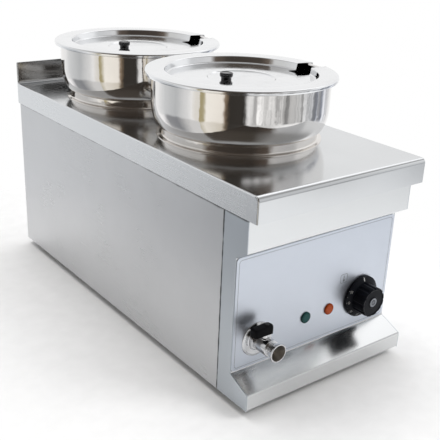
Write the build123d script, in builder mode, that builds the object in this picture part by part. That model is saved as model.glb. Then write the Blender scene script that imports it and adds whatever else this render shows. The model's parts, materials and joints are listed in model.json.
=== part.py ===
from build123d import *
from math import cos, radians, sin
import os

os.makedirs("parts", exist_ok=True)

# Bain marie with two round pots in a wet well. Millimetres, +Z up, the front looks along -Y.
# The origin lies on the floor, in the middle of the box that holds the whole object.

# Overall size
WIDTH = 300.0
DEPTH = 680.0
BODY_HEIGHT = 300.0
FOOT_HEIGHT = 12.0
APRON_HEIGHT = 35.0
UPSTAND_HEIGHT = 38.0
UPSTAND_THICKNESS = 3.0
UPSTAND_COVE = 6.0
FRONT_ROLL = 7.0

# Sheet metal
DECK_SHEET = 1.5
SHEET = 1.2
BEND = 2.0
APRON_GAP = 0.8
SEAM_GAP = 0.5
FLANGE = 12.0
BOTTOM_FLANGE = 46.0
SEAT_GAP = 0.3

# Front outline: depths behind the apron's face, heights above the bottom edge of the body
UPPER_FACE_SETBACK = 18.0
UPPER_FACE_BOTTOM = 219.0
PLATE_SETBACK = 38.0
RECESS_TOP = 207.0
RECESS_BOTTOM = 39.0
LIP_SETBACK = 2.0
LIP_CREASE = 24.0
RETURN_DEPTH = 20.0
CHEEK_DEPTH = 66.0

# Control plate and what is on it: x from the middle, height above the bottom edge of the body
PLATE_THICKNESS = 1.0
PLATE_MARGIN = 1.5
PLATE_CORNER = 5.0
LAMP_HEIGHT = 84.0
POWER_LAMP_X = -18.0
HEATING_LAMP_X = 27.0
KNOB_X = 90.0
KNOB_HEIGHT = 88.0
VALVE_X = -106.0
VALVE_HEIGHT = 79.0

# Rings in the deck
RING_BORE = 114.0
RING_HEIGHT = 13.0
RING_BEND = 3.0
RING_FLANGE = 122.0
DECK_HOLE = 117.0
FRONT_POT_SETBACK = 228.0
POT_PITCH = 284.0

# Pots
POT_SHEET = 1.2
POT_CLEARANCE = 6.0
POT_DROP = 125.0
POT_FLOOR_ROUND = 10.0
POT_RADIUS = 130.0
POT_BELLY_HEIGHT = 37.0
POT_UPPER_HEIGHT = 79.0
POT_RIM_ROLL = 3.2
POT_RIM_OVERHANG = 2.6

# Lids
LID_SHEET = 1.0
LID_RADIUS = 139.5
LID_SKIRT = 5.5
LID_RECESS_RADIUS = 111.0
LID_RECESS_DEPTH = 10.5
LID_DISH_RADIUS = 50.0
LID_DISH_DEPTH = 1.5
LID_BEND = 2.5
NOTCH_WIDTH = 36.0
NOTCH_INNER_RADIUS = 93.0
NOTCH_CORNER = 5.0
NOTCH_AZIMUTH = -8.0
LID_KNOB_OFFSET = 25.0
LID_KNOB_RADIUS = 9.5
LID_KNOB_WAIST = 7.5
LID_KNOB_HEIGHT = 10.0
LID_SCREW = 1.9

# Water tank
TANK_DEPTH = 150.0
TANK_SIDE_GAP = 25.0
TANK_FRONT_GAP = 100.0
TANK_REAR_GAP = 38.0
TANK_CORNER = 20.0
TANK_FLOOR_ROUND = 8.0
TANK_FLANGE = 8.0

# Drain pipe and valve: the reach of a station is measured forward from the control plate
PIPE_RADIUS = 9.0
PIPE_BORE = 7.5
PIPE_BEND = 18.0
PIPE_SETBACK = 122.0
SOCKET_RADIUS = 12.0
SOCKET_LENGTH = 20.0
VALVE_TAIL = 8.5
VALVE_REACH = 45.0
BALL_REACH = 19.0
BALL_RADIUS = 8.5
BALL_BORE = 5.5
VALVE_BODY_RADIUS = 12.0
VALVE_COLLAR_RADIUS = 13.0
SPOUT_NECK = 9.0
SPOUT_RADIUS = 13.0
SPOUT_WALL = 1.6
BOSS_RADIUS = 6.0
BOSS_TOP = 14.0
STEM_RADIUS = 3.0
WALL_PLATE_RADIUS = 25.0
WALL_PLATE_THICKNESS = 2.0
LEVER_BOTTOM = 18.5
LEVER_THICKNESS = 12.0
LEVER_HUB = 8.5
LEVER_WIDTH = 14.0
LEVER_LENGTH = 24.0
LEVER_SCREW = 1.5
BALL_SLOT = 2.5

# Running and fixed fits
RUNNING_FIT = 0.06
LOOSE_FIT = 0.2

# Thermostat and its knob
SPINDLE_RADIUS = 3.0
SPINDLE_HOLE = 5.0
KNOB_GAP = 1.2
KNOB_SKIRT_RADIUS = 32.0
KNOB_SKIRT_RIM = 3.0
KNOB_SKIRT_RISE = 3.5
KNOB_GRIP_RADIUS = 22.5
KNOB_REACH = 28.0
KNOB_FLUTES = 12
KNOB_FLUTE_RADIUS = 4.0
KNOB_CAP_RADIUS = 7.0
KNOB_CAP_SINK = 1.2
KNOB_SKIRT_WALL = 4.0
THERMOSTAT_WIDTH = 34.0
THERMOSTAT_HEIGHT = 40.0
THERMOSTAT_DEPTH = 24.0
THERMOSTAT_SCREW_SPACING = 28.0

# Lamps
LAMP_RADIUS = 8.5
LAMP_RISE = 2.6
LAMP_BARREL = 6.0
LAMP_BODY_LENGTH = 22.0
SPRING_NUT = 1.5

# Heating element and temperature sensing
ELEMENT_RADIUS = 4.0
ELEMENT_HEIGHT = 19.0
ELEMENT_PITCH = 30.0
ELEMENT_BEND = 14.0
ELEMENT_END_GAP = 26.0
ELEMENT_TAIL = 16.0
FITTING_RADIUS = 7.0
FITTING_FLANGE = 10.0
BULB_RADIUS = 4.0
BULB_LENGTH = 110.0
BULB_HEIGHT = 20.0
BULB_FITTING = 6.0
CAPILLARY_RADIUS = 1.0
CAPILLARY_BEND = 12.0
REST_WIDTH = 14.0
CUTOUT_X = 60.0
CUTOUT_RADIUS = 8.0
CUTOUT_FLANGE = 15.0
CUTOUT_HEIGHT = 9.0

# Feet and fasteners
FOOT_RADIUS = 13.0
FOOT_TAPER = 1.5
FOOT_INSET = 28.0
FRONT_FOOT_SETBACK = 92.0
REAR_FOOT_INSET = 42.0
FOOT_SCREW = 2.5
FOOT_SCREW_LENGTH = 12.0
PANEL_SCREW = 2.0
SCREW_HEAD = 3.5
SCREW_HEAD_HEIGHT = 2.0
REAR_HEAD_HEIGHT = 1.6
STUD_RADIUS = 2.5
STUD_LENGTH = 12.0
STUD_NUT_FLATS = 8.0
STUD_NUT_THICKNESS = 4.0
SCREW_POINT = 3.0

# Supply pieces
GLAND_HEIGHT = 60.0
GLAND_X = 95.0
GLAND_THREAD = 8.0
GLAND_COLLAR = 11.5
GLAND_COLLAR_THICKNESS = 5.0
GLAND_CAP = 10.0
GLAND_REACH = 16.0
CORD_BORE = 4.0
EARTH_X = 0.0
EARTH_INSET = 70.0
TERMINAL_LENGTH = 46.0
TERMINAL_WIDTH = 22.0
TERMINAL_HEIGHT = 18.0
TAB_WIDTH = 6.3
TAB_THICKNESS = 0.8
TAB_LENGTH = 8.0
SLOT_LENGTH = 40.0
SLOT_WIDTH = 4.0
SLOT_PITCH = 14.0
SLOT_COUNT = 6

# Levels and planes worked out from the sizes above
panel_setback = DEPTH - DECK_SHEET - APRON_GAP
spout_overhang = max(VALVE_REACH - PLATE_SETBACK, 0)
gland_overhang = max(panel_setback + GLAND_REACH - DEPTH, 0)
front_y = -(DEPTH + gland_overhang - spout_overhang) / 2
base_z = FOOT_HEIGHT
deck_z = base_z + BODY_HEIGHT
panel_top_z = deck_z - DECK_SHEET
side_x = WIDTH / 2 - DECK_SHEET - APRON_GAP


def back(setback):
    """Y of a place this far behind the face of the front apron."""
    return front_y + setback


def upright(y):
    """Plane across the object at this y: sketches read (x, z) and extrude to the front."""
    return Plane.XZ.offset(-y)


deck_middle_y = back(DEPTH / 2)
plate_y = back(PLATE_SETBACK)
recess_y = plate_y + PLATE_THICKNESS
rear_y = back(panel_setback)
seam_y = back(CHEEK_DEPTH)
front_pot_y = back(FRONT_POT_SETBACK)
rear_pot_y = front_pot_y + POT_PITCH
ring_top_z = deck_z + RING_HEIGHT
pot_seat_z = ring_top_z + SEAT_GAP
pot_rim_z = pot_seat_z + POT_UPPER_HEIGHT
tank_floor_z = panel_top_z - TANK_DEPTH
tank_half_width = WIDTH / 2 - TANK_SIDE_GAP
tank_front_y = back(TANK_FRONT_GAP)
tank_rear_y = back(DEPTH - TANK_REAR_GAP)
knob_z = base_z + KNOB_HEIGHT
lamp_z = base_z + LAMP_HEIGHT
valve_z = base_z + VALVE_HEIGHT


def on_plate(x, z):
    """Plane for turned pieces on the control plate: sketches read (reach to the front, radius)."""
    return Plane(origin=(x, plate_y, z), x_dir=(0, -1, 0), z_dir=(-1, 0, 0))


def plate_axis(x, z):
    """Axis square to the control plate, pointing to the front."""
    return Axis((x, plate_y, z), (0, -1, 0))


# Deck: folded top with aprons, rolled front edge, two openings and a rear upstand

with BuildPart() as deck:
    with BuildSketch(Plane.XY.offset(deck_z - APRON_HEIGHT)):
        with Locations((0, deck_middle_y)):
            Rectangle(WIDTH, DEPTH)
    extrude(amount=APRON_HEIGHT)
    fillet(deck.edges().filter_by(Axis.X).group_by(Axis.Z)[-1].sort_by(Axis.Y)[0], FRONT_ROLL)
    with BuildPart(mode=Mode.PRIVATE) as deck_inside:
        with BuildSketch(Plane.XY.offset(deck_z - APRON_HEIGHT)):
            with Locations((0, deck_middle_y)):
                Rectangle(WIDTH - 2 * DECK_SHEET, DEPTH - 2 * DECK_SHEET)
        extrude(amount=APRON_HEIGHT - DECK_SHEET)
        fillet(
            deck_inside.edges().filter_by(Axis.X).group_by(Axis.Z)[-1].sort_by(Axis.Y)[0],
            FRONT_ROLL - DECK_SHEET,
        )
    add(deck_inside.part, mode=Mode.SUBTRACT)
    with BuildSketch(Plane.XY.offset(deck_z)):
        with Locations((0, back(DEPTH - UPSTAND_THICKNESS / 2))):
            Rectangle(WIDTH, UPSTAND_THICKNESS)
    extrude(amount=UPSTAND_HEIGHT)
    cove = deck.edges().filter_by(Axis.X).filter_by_position(Axis.Z, deck_z - 0.01, deck_z + 0.01)
    fillet(cove.sort_by(Axis.Y)[-1], UPSTAND_COVE)
    side_edges = deck.edges().group_by(Axis.X)[0] + deck.edges().group_by(Axis.X)[-1]
    side_edges = side_edges.filter_by_position(Axis.Z, deck_z - FRONT_ROLL, deck_z + UPSTAND_HEIGHT)
    fillet(side_edges.filter_by_position(Axis.Y, front_y, back(DEPTH - UPSTAND_THICKNESS / 2)), BEND)
    with BuildSketch(Plane.XY.offset(deck_z)):
        with Locations((0, front_pot_y), (0, rear_pot_y)):
            Circle(DECK_HOLE)
    extrude(amount=-2 * DECK_SHEET, mode=Mode.SUBTRACT)
deck.part.label = "deck"
export_step(deck.part, "parts/deck.step")


# Pot rings: spun collars whose flanges lie on the deck round the openings


def make_pot_ring(centre_y):
    """Collar from its flange on the deck, through a bend, up to its plain top edge."""
    outline = [
        (RING_FLANGE, deck_z + SHEET),
        (RING_BORE + SHEET, deck_z + SHEET),
        (RING_BORE + SHEET, ring_top_z),
    ]
    with BuildPart() as ring:
        with BuildSketch(Plane.XZ.offset(-centre_y)):
            with BuildLine():
                FilletPolyline(*outline, radius=RING_BEND)
                offset(amount=SHEET, side=Side.LEFT)
            make_face()
        revolve(axis=Axis((0, centre_y, 0), (0, 0, 1)))
    return ring.part


for ring_name, ring_y in (("front_pot_ring", front_pot_y), ("rear_pot_ring", rear_pot_y)):
    pot_ring = make_pot_ring(ring_y)
    pot_ring.label = ring_name
    export_step(pot_ring, f"parts/{ring_name}.step")


# Pots: a narrow lower part that hangs in the water and a wide belly that sits on the ring

pot_lower_radius = RING_BORE - POT_CLEARANCE
belly_centre_radius = RING_BORE + SHEET


def pot_outline(inset):
    """Half section of the pot's outside, or of its inside when inset by the sheet."""
    floor_z = pot_seat_z - POT_DROP + inset
    shoulder_z = pot_seat_z + inset
    lower = pot_lower_radius - inset
    wall = POT_RADIUS - inset
    belly_top_z = pot_seat_z + POT_BELLY_HEIGHT
    roll_z = pot_rim_z - POT_RIM_ROLL
    floor_round = POT_FLOOR_ROUND - inset
    Line((0, floor_z), (lower - floor_round, floor_z))
    TangentArc((lower - floor_round, floor_z), (lower, floor_z + floor_round), tangent=(1, 0))
    Line((lower, floor_z + floor_round), (lower, shoulder_z))
    Line((lower, shoulder_z), (belly_centre_radius, shoulder_z))
    EllipticalCenterArc(
        (belly_centre_radius, belly_top_z),
        wall - belly_centre_radius,
        POT_BELLY_HEIGHT - inset,
        start_angle=270,
        arc_size=90,
    )
    Line((wall, belly_top_z), (wall, roll_z))
    Line((wall, roll_z), (0, roll_z))
    Line((0, roll_z), (0, floor_z))


def make_pot(centre_y):
    """Spun pot with a rolled rim."""
    with BuildPart() as pot:
        with BuildSketch(Plane.XZ.offset(-centre_y)):
            with BuildLine():
                pot_outline(0)
            make_face()
            with BuildLine():
                pot_outline(POT_SHEET)
            make_face(mode=Mode.SUBTRACT)
            with Locations((POT_RADIUS + POT_RIM_OVERHANG - POT_RIM_ROLL / 2, pot_rim_z - POT_RIM_ROLL)):
                Circle(POT_RIM_ROLL)
        revolve(axis=Axis((0, centre_y, 0), (0, 0, 1)))
    return pot.part


for pot_name, pot_y in (("front_pot", front_pot_y), ("rear_pot", rear_pot_y)):
    pot = make_pot(pot_y)
    pot.label = pot_name
    export_step(pot, f"parts/{pot_name}.step")


# Lids: flat rim with a turned-down edge, a sunken dish with a pressed centre, and a ladle notch

lid_top_z = pot_rim_z + SEAT_GAP + LID_SHEET
lid_floor_z = lid_top_z - LID_RECESS_DEPTH
dish_z = lid_floor_z - LID_DISH_DEPTH
lid_screw_hole = LID_SCREW + LOOSE_FIT


def lid_plane(centre_y, z):
    """Level plane on the lid's centre, with its x axis towards the ladle notch."""
    azimuth = radians(NOTCH_AZIMUTH)
    return Plane(origin=(0, centre_y, z), x_dir=(cos(azimuth), sin(azimuth), 0), z_dir=(0, 0, 1))


def make_lid(centre_y):
    """Pressed lid, cut open at the notch and drilled for its knob."""
    draft = LID_RECESS_DEPTH / 5
    outline = [
        (LID_RADIUS, lid_top_z - LID_SKIRT),
        (LID_RADIUS, lid_top_z),
        (LID_RECESS_RADIUS, lid_top_z),
        (LID_RECESS_RADIUS - draft, lid_floor_z),
        (LID_DISH_RADIUS, lid_floor_z),
        (LID_DISH_RADIUS - LID_DISH_DEPTH, dish_z),
        (0, dish_z),
    ]
    radii = [LID_BEND, LID_BEND, LID_BEND, LID_DISH_DEPTH, LID_DISH_DEPTH]
    with BuildPart() as lid:
        with BuildSketch(Plane.XZ.offset(-centre_y)):
            with BuildLine():
                FilletPolyline(*outline, radius=radii)
                offset(amount=LID_SHEET, side=Side.LEFT)
            make_face()
        revolve(axis=Axis((0, centre_y, 0), (0, 0, 1)))
        notch_length = LID_RADIUS + NOTCH_CORNER - NOTCH_INNER_RADIUS
        with BuildSketch(lid_plane(centre_y, lid_top_z)):
            with Locations((NOTCH_INNER_RADIUS + notch_length / 2, 0)):
                RectangleRounded(notch_length, NOTCH_WIDTH, NOTCH_CORNER)
            with Locations((LID_RADIUS, 0)):
                Rectangle(4 * NOTCH_CORNER, NOTCH_WIDTH)
        extrude(amount=-2 * LID_RECESS_DEPTH, mode=Mode.SUBTRACT)
        with BuildSketch(lid_plane(centre_y, lid_floor_z)):
            with Locations((-LID_KNOB_OFFSET, 0)):
                Circle(lid_screw_hole)
        extrude(amount=-LID_RECESS_DEPTH, mode=Mode.SUBTRACT)
    return lid.part


def make_lid_knob(centre_y):
    """Low moulded knob with a waist, a rounded top edge and a blind hole for its screw."""
    knob_plane = lid_plane(centre_y, dish_z)
    centre = knob_plane.from_local_coords((-LID_KNOB_OFFSET, 0, 0))
    section_plane = Plane(origin=centre, x_dir=(1, 0, 0), z_dir=(0, -1, 0))
    edge_round = LID_KNOB_HEIGHT / 5
    with BuildPart() as knob:
        with BuildSketch(section_plane):
            with BuildLine():
                Polyline(
                    (0, LID_KNOB_HEIGHT),
                    (LID_KNOB_RADIUS - edge_round, LID_KNOB_HEIGHT),
                )
                TangentArc(
                    (LID_KNOB_RADIUS - edge_round, LID_KNOB_HEIGHT),
                    (LID_KNOB_RADIUS, LID_KNOB_HEIGHT - edge_round),
                    tangent=(1, 0),
                )
                Polyline(
                    (LID_KNOB_RADIUS, LID_KNOB_HEIGHT - edge_round),
                    (LID_KNOB_RADIUS, LID_KNOB_HEIGHT / 2),
                    (LID_KNOB_WAIST, LID_KNOB_HEIGHT / 4),
                    (LID_KNOB_WAIST, 0),
                    (0, 0),
                    (0, LID_KNOB_HEIGHT),
                )
            make_face()
        revolve(axis=Axis(centre, (0, 0, 1)))
        with BuildSketch(Plane(origin=centre)):
            Circle(LID_SCREW + RUNNING_FIT)
        extrude(amount=0.7 * LID_KNOB_HEIGHT, mode=Mode.SUBTRACT)
    return knob.part


def make_lid_screw(centre_y):
    """Screw that holds the knob from below the lid."""
    head_plane = lid_plane(centre_y, dish_z - LID_SHEET)
    centre = head_plane.from_local_coords((-LID_KNOB_OFFSET, 0, 0))
    with BuildPart() as screw:
        with BuildSketch(Plane(origin=centre)):
            Circle(2 * LID_SCREW)
        extrude(amount=-SCREW_HEAD_HEIGHT)
        with BuildSketch(Plane(origin=centre)):
            Circle(LID_SCREW)
        extrude(amount=LID_SHEET + 0.6 * LID_KNOB_HEIGHT)
    return screw.part


for end_name, end_y in (("front", front_pot_y), ("rear", rear_pot_y)):
    lid = make_lid(end_y)
    lid.label = f"{end_name}_lid"
    export_step(lid, f"parts/{end_name}_lid.step")
    lid_knob = make_lid_knob(end_y)
    lid_knob.label = f"{end_name}_lid_knob"
    export_step(lid_knob, f"parts/{end_name}_lid_knob.step")
    lid_screw = make_lid_screw(end_y)
    lid_screw.label = f"{end_name}_lid_screw"
    export_step(lid_screw, f"parts/{end_name}_lid_screw.step")


# Front panel and cheeks: one folded outline, closed at each side by a flat cheek

front_outline = [
    (back(UPPER_FACE_SETBACK), panel_top_z),
    (back(UPPER_FACE_SETBACK), base_z + UPPER_FACE_BOTTOM),
    (recess_y, base_z + RECESS_TOP),
    (recess_y, base_z + RECESS_BOTTOM),
    (back(LIP_SETBACK), base_z + LIP_CREASE),
    (back(LIP_SETBACK), base_z),
]
top_return = (back(UPPER_FACE_SETBACK + RETURN_DEPTH), panel_top_z)
bottom_return = (back(LIP_SETBACK + RETURN_DEPTH), base_z)
panel_half_width = side_x - SHEET
front_hole_depth = 4 * SHEET


def front_holes(y):
    """Outlines of the holes for the spindle, the lamps, the thermostat screws and the valve tail."""
    with BuildSketch(upright(y)) as holes:
        with Locations((KNOB_X, knob_z)):
            Circle(SPINDLE_HOLE)
        with Locations((POWER_LAMP_X, lamp_z), (HEATING_LAMP_X, lamp_z)):
            Circle(LAMP_BARREL + LOOSE_FIT)
        with Locations((VALVE_X, valve_z)):
            Circle(VALVE_TAIL + LOOSE_FIT)
        with Locations((KNOB_X, knob_z)):
            with GridLocations(THERMOSTAT_SCREW_SPACING, 1, 2, 1):
                Circle(PANEL_SCREW + LOOSE_FIT)
    return holes.sketch


with BuildPart() as front_panel:
    with BuildSketch(Plane.YZ.offset(-panel_half_width)):
        with BuildLine():
            FilletPolyline(top_return, *front_outline, bottom_return, radius=BEND)
            offset(amount=SHEET, side=Side.LEFT)
        make_face()
    extrude(amount=2 * panel_half_width)
    extrude(front_holes(recess_y), amount=-front_hole_depth, mode=Mode.SUBTRACT)
front_panel.part.label = "front_panel"
export_step(front_panel.part, "parts/front_panel.step")

with BuildPart() as control_plate:
    plate_height = RECESS_TOP - RECESS_BOTTOM - 2 * PLATE_MARGIN
    with BuildSketch(upright(recess_y)):
        with Locations((0, base_z + (RECESS_TOP + RECESS_BOTTOM) / 2)):
            RectangleRounded(2 * (side_x - PLATE_MARGIN), plate_height, PLATE_CORNER)
    extrude(amount=PLATE_THICKNESS)
    extrude(front_holes(plate_y), amount=-front_hole_depth, mode=Mode.SUBTRACT)
control_plate.part.label = "control_plate"
export_step(control_plate.part, "parts/control_plate.step")


def make_cheek(side):
    """Flat cheek whose front edge follows the folded panel, with a strip behind the seam."""
    with BuildPart() as cheek:
        with BuildSketch(Plane.YZ.offset(side * (side_x - SHEET / 2))):
            with BuildLine():
                FilletPolyline(*front_outline, radius=BEND)
                Polyline(
                    front_outline[-1],
                    (seam_y, base_z),
                    (seam_y, panel_top_z),
                    front_outline[0],
                )
            make_face()
        extrude(amount=SHEET / 2, both=True)
        with BuildSketch(Plane.YZ.offset(side * (side_x - 1.5 * SHEET))):
            with Locations((seam_y, (base_z + panel_top_z) / 2)):
                Rectangle(2 * FLANGE, panel_top_z - base_z - 2 * FLANGE)
        extrude(amount=SHEET / 2, both=True)
    return cheek.part


# Side panels: channels with inward flanges at the top, the bottom and the rear

stud_places = [(side * (side_x - SHEET - FLANGE / 2), y) for side in (-1, 1) for y in (front_pot_y, rear_pot_y)]
rear_screw_heights = (base_z + 2 * FLANGE, (base_z + panel_top_z) / 2, panel_top_z - APRON_HEIGHT - FLANGE)
rear_screw_places = [(side * (side_x - SHEET - FLANGE / 2), z) for side in (-1, 1) for z in rear_screw_heights]
base_screw_x = side_x - BOTTOM_FLANGE + FLANGE / 2
base_screw_places = [(side * base_screw_x, y) for side in (-1, 1) for y in (front_pot_y, rear_pot_y)]
foot_y_values = (back(FRONT_FOOT_SETBACK), back(DEPTH - REAR_FOOT_INSET))
foot_places = [(side * (side_x - FOOT_INSET), y) for side in (-1, 1) for y in foot_y_values]


def make_side_panel(side):
    """Side panel from the seam to the rear panel, with its wall outermost."""
    start_y = seam_y + SEAM_GAP
    end_y = rear_y - SHEET
    middle_y = (start_y + end_y) / 2
    length = end_y - start_y
    height = panel_top_z - base_z
    wall_inside = side_x - SHEET
    top_start_y = start_y + FLANGE + SEAM_GAP
    with BuildPart() as panel:
        with BuildSketch(Plane.YZ.offset(side * (side_x - SHEET / 2))):
            with Locations((middle_y, (base_z + panel_top_z) / 2)):
                Rectangle(length, height)
        extrude(amount=SHEET / 2, both=True)
        with BuildSketch(Plane.XY.offset(panel_top_z - SHEET)):
            with Locations((side * (wall_inside - FLANGE / 2), (top_start_y + end_y) / 2)):
                Rectangle(FLANGE, end_y - top_start_y)
        extrude(amount=SHEET)
        with BuildSketch(Plane.XY.offset(base_z)):
            with Locations((side * (wall_inside - BOTTOM_FLANGE / 2), (top_start_y + end_y) / 2)):
                Rectangle(BOTTOM_FLANGE, end_y - top_start_y)
        extrude(amount=SHEET)
        with BuildSketch(upright(end_y)):
            with Locations((side * (wall_inside - FLANGE / 2), (base_z + panel_top_z) / 2)):
                Rectangle(FLANGE, height)
        extrude(amount=SHEET)
        with BuildSketch(Plane.XY.offset(base_z)):
            with Locations(*foot_places):
                Circle(FOOT_SCREW + LOOSE_FIT)
            with Locations(*base_screw_places):
                Circle(PANEL_SCREW + LOOSE_FIT)
        extrude(amount=SHEET, mode=Mode.SUBTRACT)
        with BuildSketch(Plane.XY.offset(panel_top_z - SHEET)):
            with Locations(*stud_places):
                Circle(STUD_RADIUS + LOOSE_FIT)
        extrude(amount=SHEET, mode=Mode.SUBTRACT)
        with BuildSketch(upright(end_y)):
            with Locations(*rear_screw_places):
                Circle(PANEL_SCREW + RUNNING_FIT)
        extrude(amount=SHEET, mode=Mode.SUBTRACT)
    return panel.part


for side_name, side_sign in (("left", -1), ("right", 1)):
    cheek = make_cheek(side_sign)
    cheek.label = f"{side_name}_cheek"
    export_step(cheek, f"parts/{side_name}_cheek.step")
    side_panel = make_side_panel(side_sign)
    side_panel.label = f"{side_name}_side_panel"
    export_step(side_panel, f"parts/{side_name}_side_panel.step")


# Rear panel: covers the rear flanges of the sides and holds the cable gland

gland_z = base_z + GLAND_HEIGHT

with BuildPart() as rear_panel:
    with BuildSketch(upright(rear_y)):
        with Locations((0, (base_z + panel_top_z) / 2)):
            Rectangle(2 * side_x, panel_top_z - base_z)
    extrude(amount=SHEET)
    with BuildSketch(Plane.XY.offset(base_z)):
        with Locations((0, rear_y - RETURN_DEPTH / 2)):
            Rectangle(2 * (side_x - BOTTOM_FLANGE - FLANGE), RETURN_DEPTH)
    extrude(amount=SHEET)
    with BuildSketch(upright(rear_y)):
        with Locations((GLAND_X, gland_z)):
            Circle(GLAND_THREAD + LOOSE_FIT)
        with Locations(*rear_screw_places):
            Circle(PANEL_SCREW + LOOSE_FIT)
    extrude(amount=SHEET, mode=Mode.SUBTRACT)
rear_panel.part.label = "rear_panel"
export_step(rear_panel.part, "parts/rear_panel.step")


# Base plate: lies on the bottom flanges and has two rows of air slots

base_plate_z = base_z + SHEET
base_start_y = back(LIP_SETBACK + BEND + SEAT_GAP)
base_end_y = rear_y - 2 * SHEET - SEAT_GAP
earth_place = (EARTH_X, back(DEPTH - EARTH_INSET))

with BuildPart() as base_plate:
    with BuildSketch(Plane.XY.offset(base_plate_z)):
        with Locations((0, (base_start_y + base_end_y) / 2)):
            Rectangle(2 * (side_x - SHEET - SEAT_GAP), base_end_y - base_start_y)
        with Locations(*foot_places):
            Circle(FOOT_SCREW + RUNNING_FIT, mode=Mode.SUBTRACT)
        with Locations(*base_screw_places):
            Circle(PANEL_SCREW + RUNNING_FIT, mode=Mode.SUBTRACT)
        with Locations((0, front_pot_y), (0, rear_pot_y)):
            with GridLocations(1, SLOT_PITCH, 1, SLOT_COUNT):
                SlotOverall(SLOT_LENGTH, SLOT_WIDTH, mode=Mode.SUBTRACT)
        with Locations(earth_place):
            Circle(STUD_RADIUS + LOOSE_FIT, mode=Mode.SUBTRACT)
    extrude(amount=SHEET)
base_plate.part.label = "base_plate"
export_step(base_plate.part, "parts/base_plate.step")


# Feet: turned rubber feet, each counterbored from below for its screw

FOOT_NAMES = ("front_left_foot", "rear_left_foot", "front_right_foot", "rear_right_foot")
foot_counterbore = FOOT_HEIGHT / 2

for foot_name, (foot_x, foot_y) in zip(FOOT_NAMES, foot_places):
    with BuildPart() as foot:
        with BuildSketch(Plane(origin=(foot_x, foot_y, 0))):
            Circle(FOOT_RADIUS - FOOT_TAPER)
        with BuildSketch(Plane(origin=(foot_x, foot_y, base_z))):
            Circle(FOOT_RADIUS)
        loft()
        with BuildSketch(Plane(origin=(foot_x, foot_y, 0))):
            Circle(FOOT_SCREW + LOOSE_FIT)
        extrude(amount=base_z, mode=Mode.SUBTRACT)
        with BuildSketch(Plane(origin=(foot_x, foot_y, 0))):
            Circle(2 * FOOT_SCREW + LOOSE_FIT)
        extrude(amount=foot_counterbore, mode=Mode.SUBTRACT)
    foot.part.label = foot_name
    export_step(foot.part, f"parts/{foot_name}.step")


# Fasteners: each kind is one group of separate solids


def make_screw(head_plane, shank, shank_length, head, head_height):
    """Pan-head screw whose head stands on the plane and whose shank goes the other way."""
    with BuildPart() as screw:
        with BuildSketch(head_plane):
            Circle(head)
        extrude(amount=head_height)
        fillet(screw.faces().sort_by(Axis((0, 0, 0), head_plane.z_dir))[-1].edges(), head_height / 3)
        with BuildSketch(head_plane):
            Circle(shank)
        extrude(amount=-shank_length)
    return screw.part


def make_hex_nut(face_plane, across_flats, bore, thickness):
    """Hexagonal nut that stands on the plane."""
    with BuildPart() as nut:
        with BuildSketch(face_plane):
            RegularPolygon(across_flats / 2, 6, major_radius=False)
            Circle(bore, mode=Mode.SUBTRACT)
        extrude(amount=thickness)
    return nut.part


def facing_down(place, z):
    """Plane at this place whose pieces are built downwards."""
    return Plane(origin=(*place, z), x_dir=(1, 0, 0), z_dir=(0, 0, -1))


with BuildPart() as foot_screws:
    for place in foot_places:
        head_plane = facing_down(place, foot_counterbore)
        add(make_screw(head_plane, FOOT_SCREW, FOOT_SCREW_LENGTH, 2 * FOOT_SCREW, FOOT_SCREW))
foot_screws.part.label = "foot_screws"
export_step(foot_screws.part, "parts/foot_screws.step")

with BuildPart() as base_screws:
    for place in base_screw_places:
        head_plane = facing_down(place, base_z)
        add(make_screw(head_plane, PANEL_SCREW, 2 * SHEET + SCREW_POINT, SCREW_HEAD, SCREW_HEAD_HEIGHT))
base_screws.part.label = "base_screws"
export_step(base_screws.part, "parts/base_screws.step")

with BuildPart() as rear_screws:
    for screw_x, screw_z in rear_screw_places:
        head_plane = Plane(origin=(screw_x, rear_y, screw_z), x_dir=(1, 0, 0), z_dir=(0, 1, 0))
        add(make_screw(head_plane, PANEL_SCREW, 2 * SHEET + SCREW_POINT, SCREW_HEAD, REAR_HEAD_HEIGHT))
rear_screws.part.label = "rear_screws"
export_step(rear_screws.part, "parts/rear_screws.step")

with BuildPart() as deck_studs:
    for place in stud_places:
        with BuildSketch(facing_down(place, panel_top_z)):
            Circle(STUD_RADIUS)
        extrude(amount=STUD_LENGTH)
deck_studs.part.label = "deck_studs"
export_step(deck_studs.part, "parts/deck_studs.step")

with BuildPart() as deck_nuts:
    for place in stud_places:
        nut_plane = facing_down(place, panel_top_z - SHEET)
        add(make_hex_nut(nut_plane, STUD_NUT_FLATS, STUD_RADIUS + RUNNING_FIT, STUD_NUT_THICKNESS))
deck_nuts.part.label = "deck_nuts"
export_step(deck_nuts.part, "parts/deck_nuts.step")


# Water tank: deep box with rounded corners, welded by its flange to the deck from below

tank_length = tank_rear_y - tank_front_y
tank_middle_y = (tank_front_y + tank_rear_y) / 2
element_z = tank_floor_z + ELEMENT_HEIGHT
bulb_z = tank_floor_z + BULB_HEIGHT
element_row_x = [(index - 1.5) * ELEMENT_PITCH for index in range(4)]
element_wall_places = [(element_row_x[0], element_z), (element_row_x[-1], element_z)]
drain_place = (VALVE_X, back(PIPE_SETBACK))


def tank_block(inset, floor_z, corner, floor_round):
    """Solid block with the tank's rounded shape, grown by the inset."""
    with BuildPart(mode=Mode.PRIVATE) as block:
        with BuildSketch(Plane.XY.offset(floor_z)):
            with Locations((0, tank_middle_y)):
                RectangleRounded(2 * (tank_half_width + inset), tank_length + 2 * inset, corner)
        extrude(amount=panel_top_z - floor_z)
        fillet(block.edges().group_by(Axis.Z)[0], floor_round)
    return block.part


tank_outside = tank_block(SHEET, tank_floor_z - SHEET, TANK_CORNER + SHEET, TANK_FLOOR_ROUND + SHEET)
tank_inside = tank_block(0, tank_floor_z, TANK_CORNER, TANK_FLOOR_ROUND)

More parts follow.
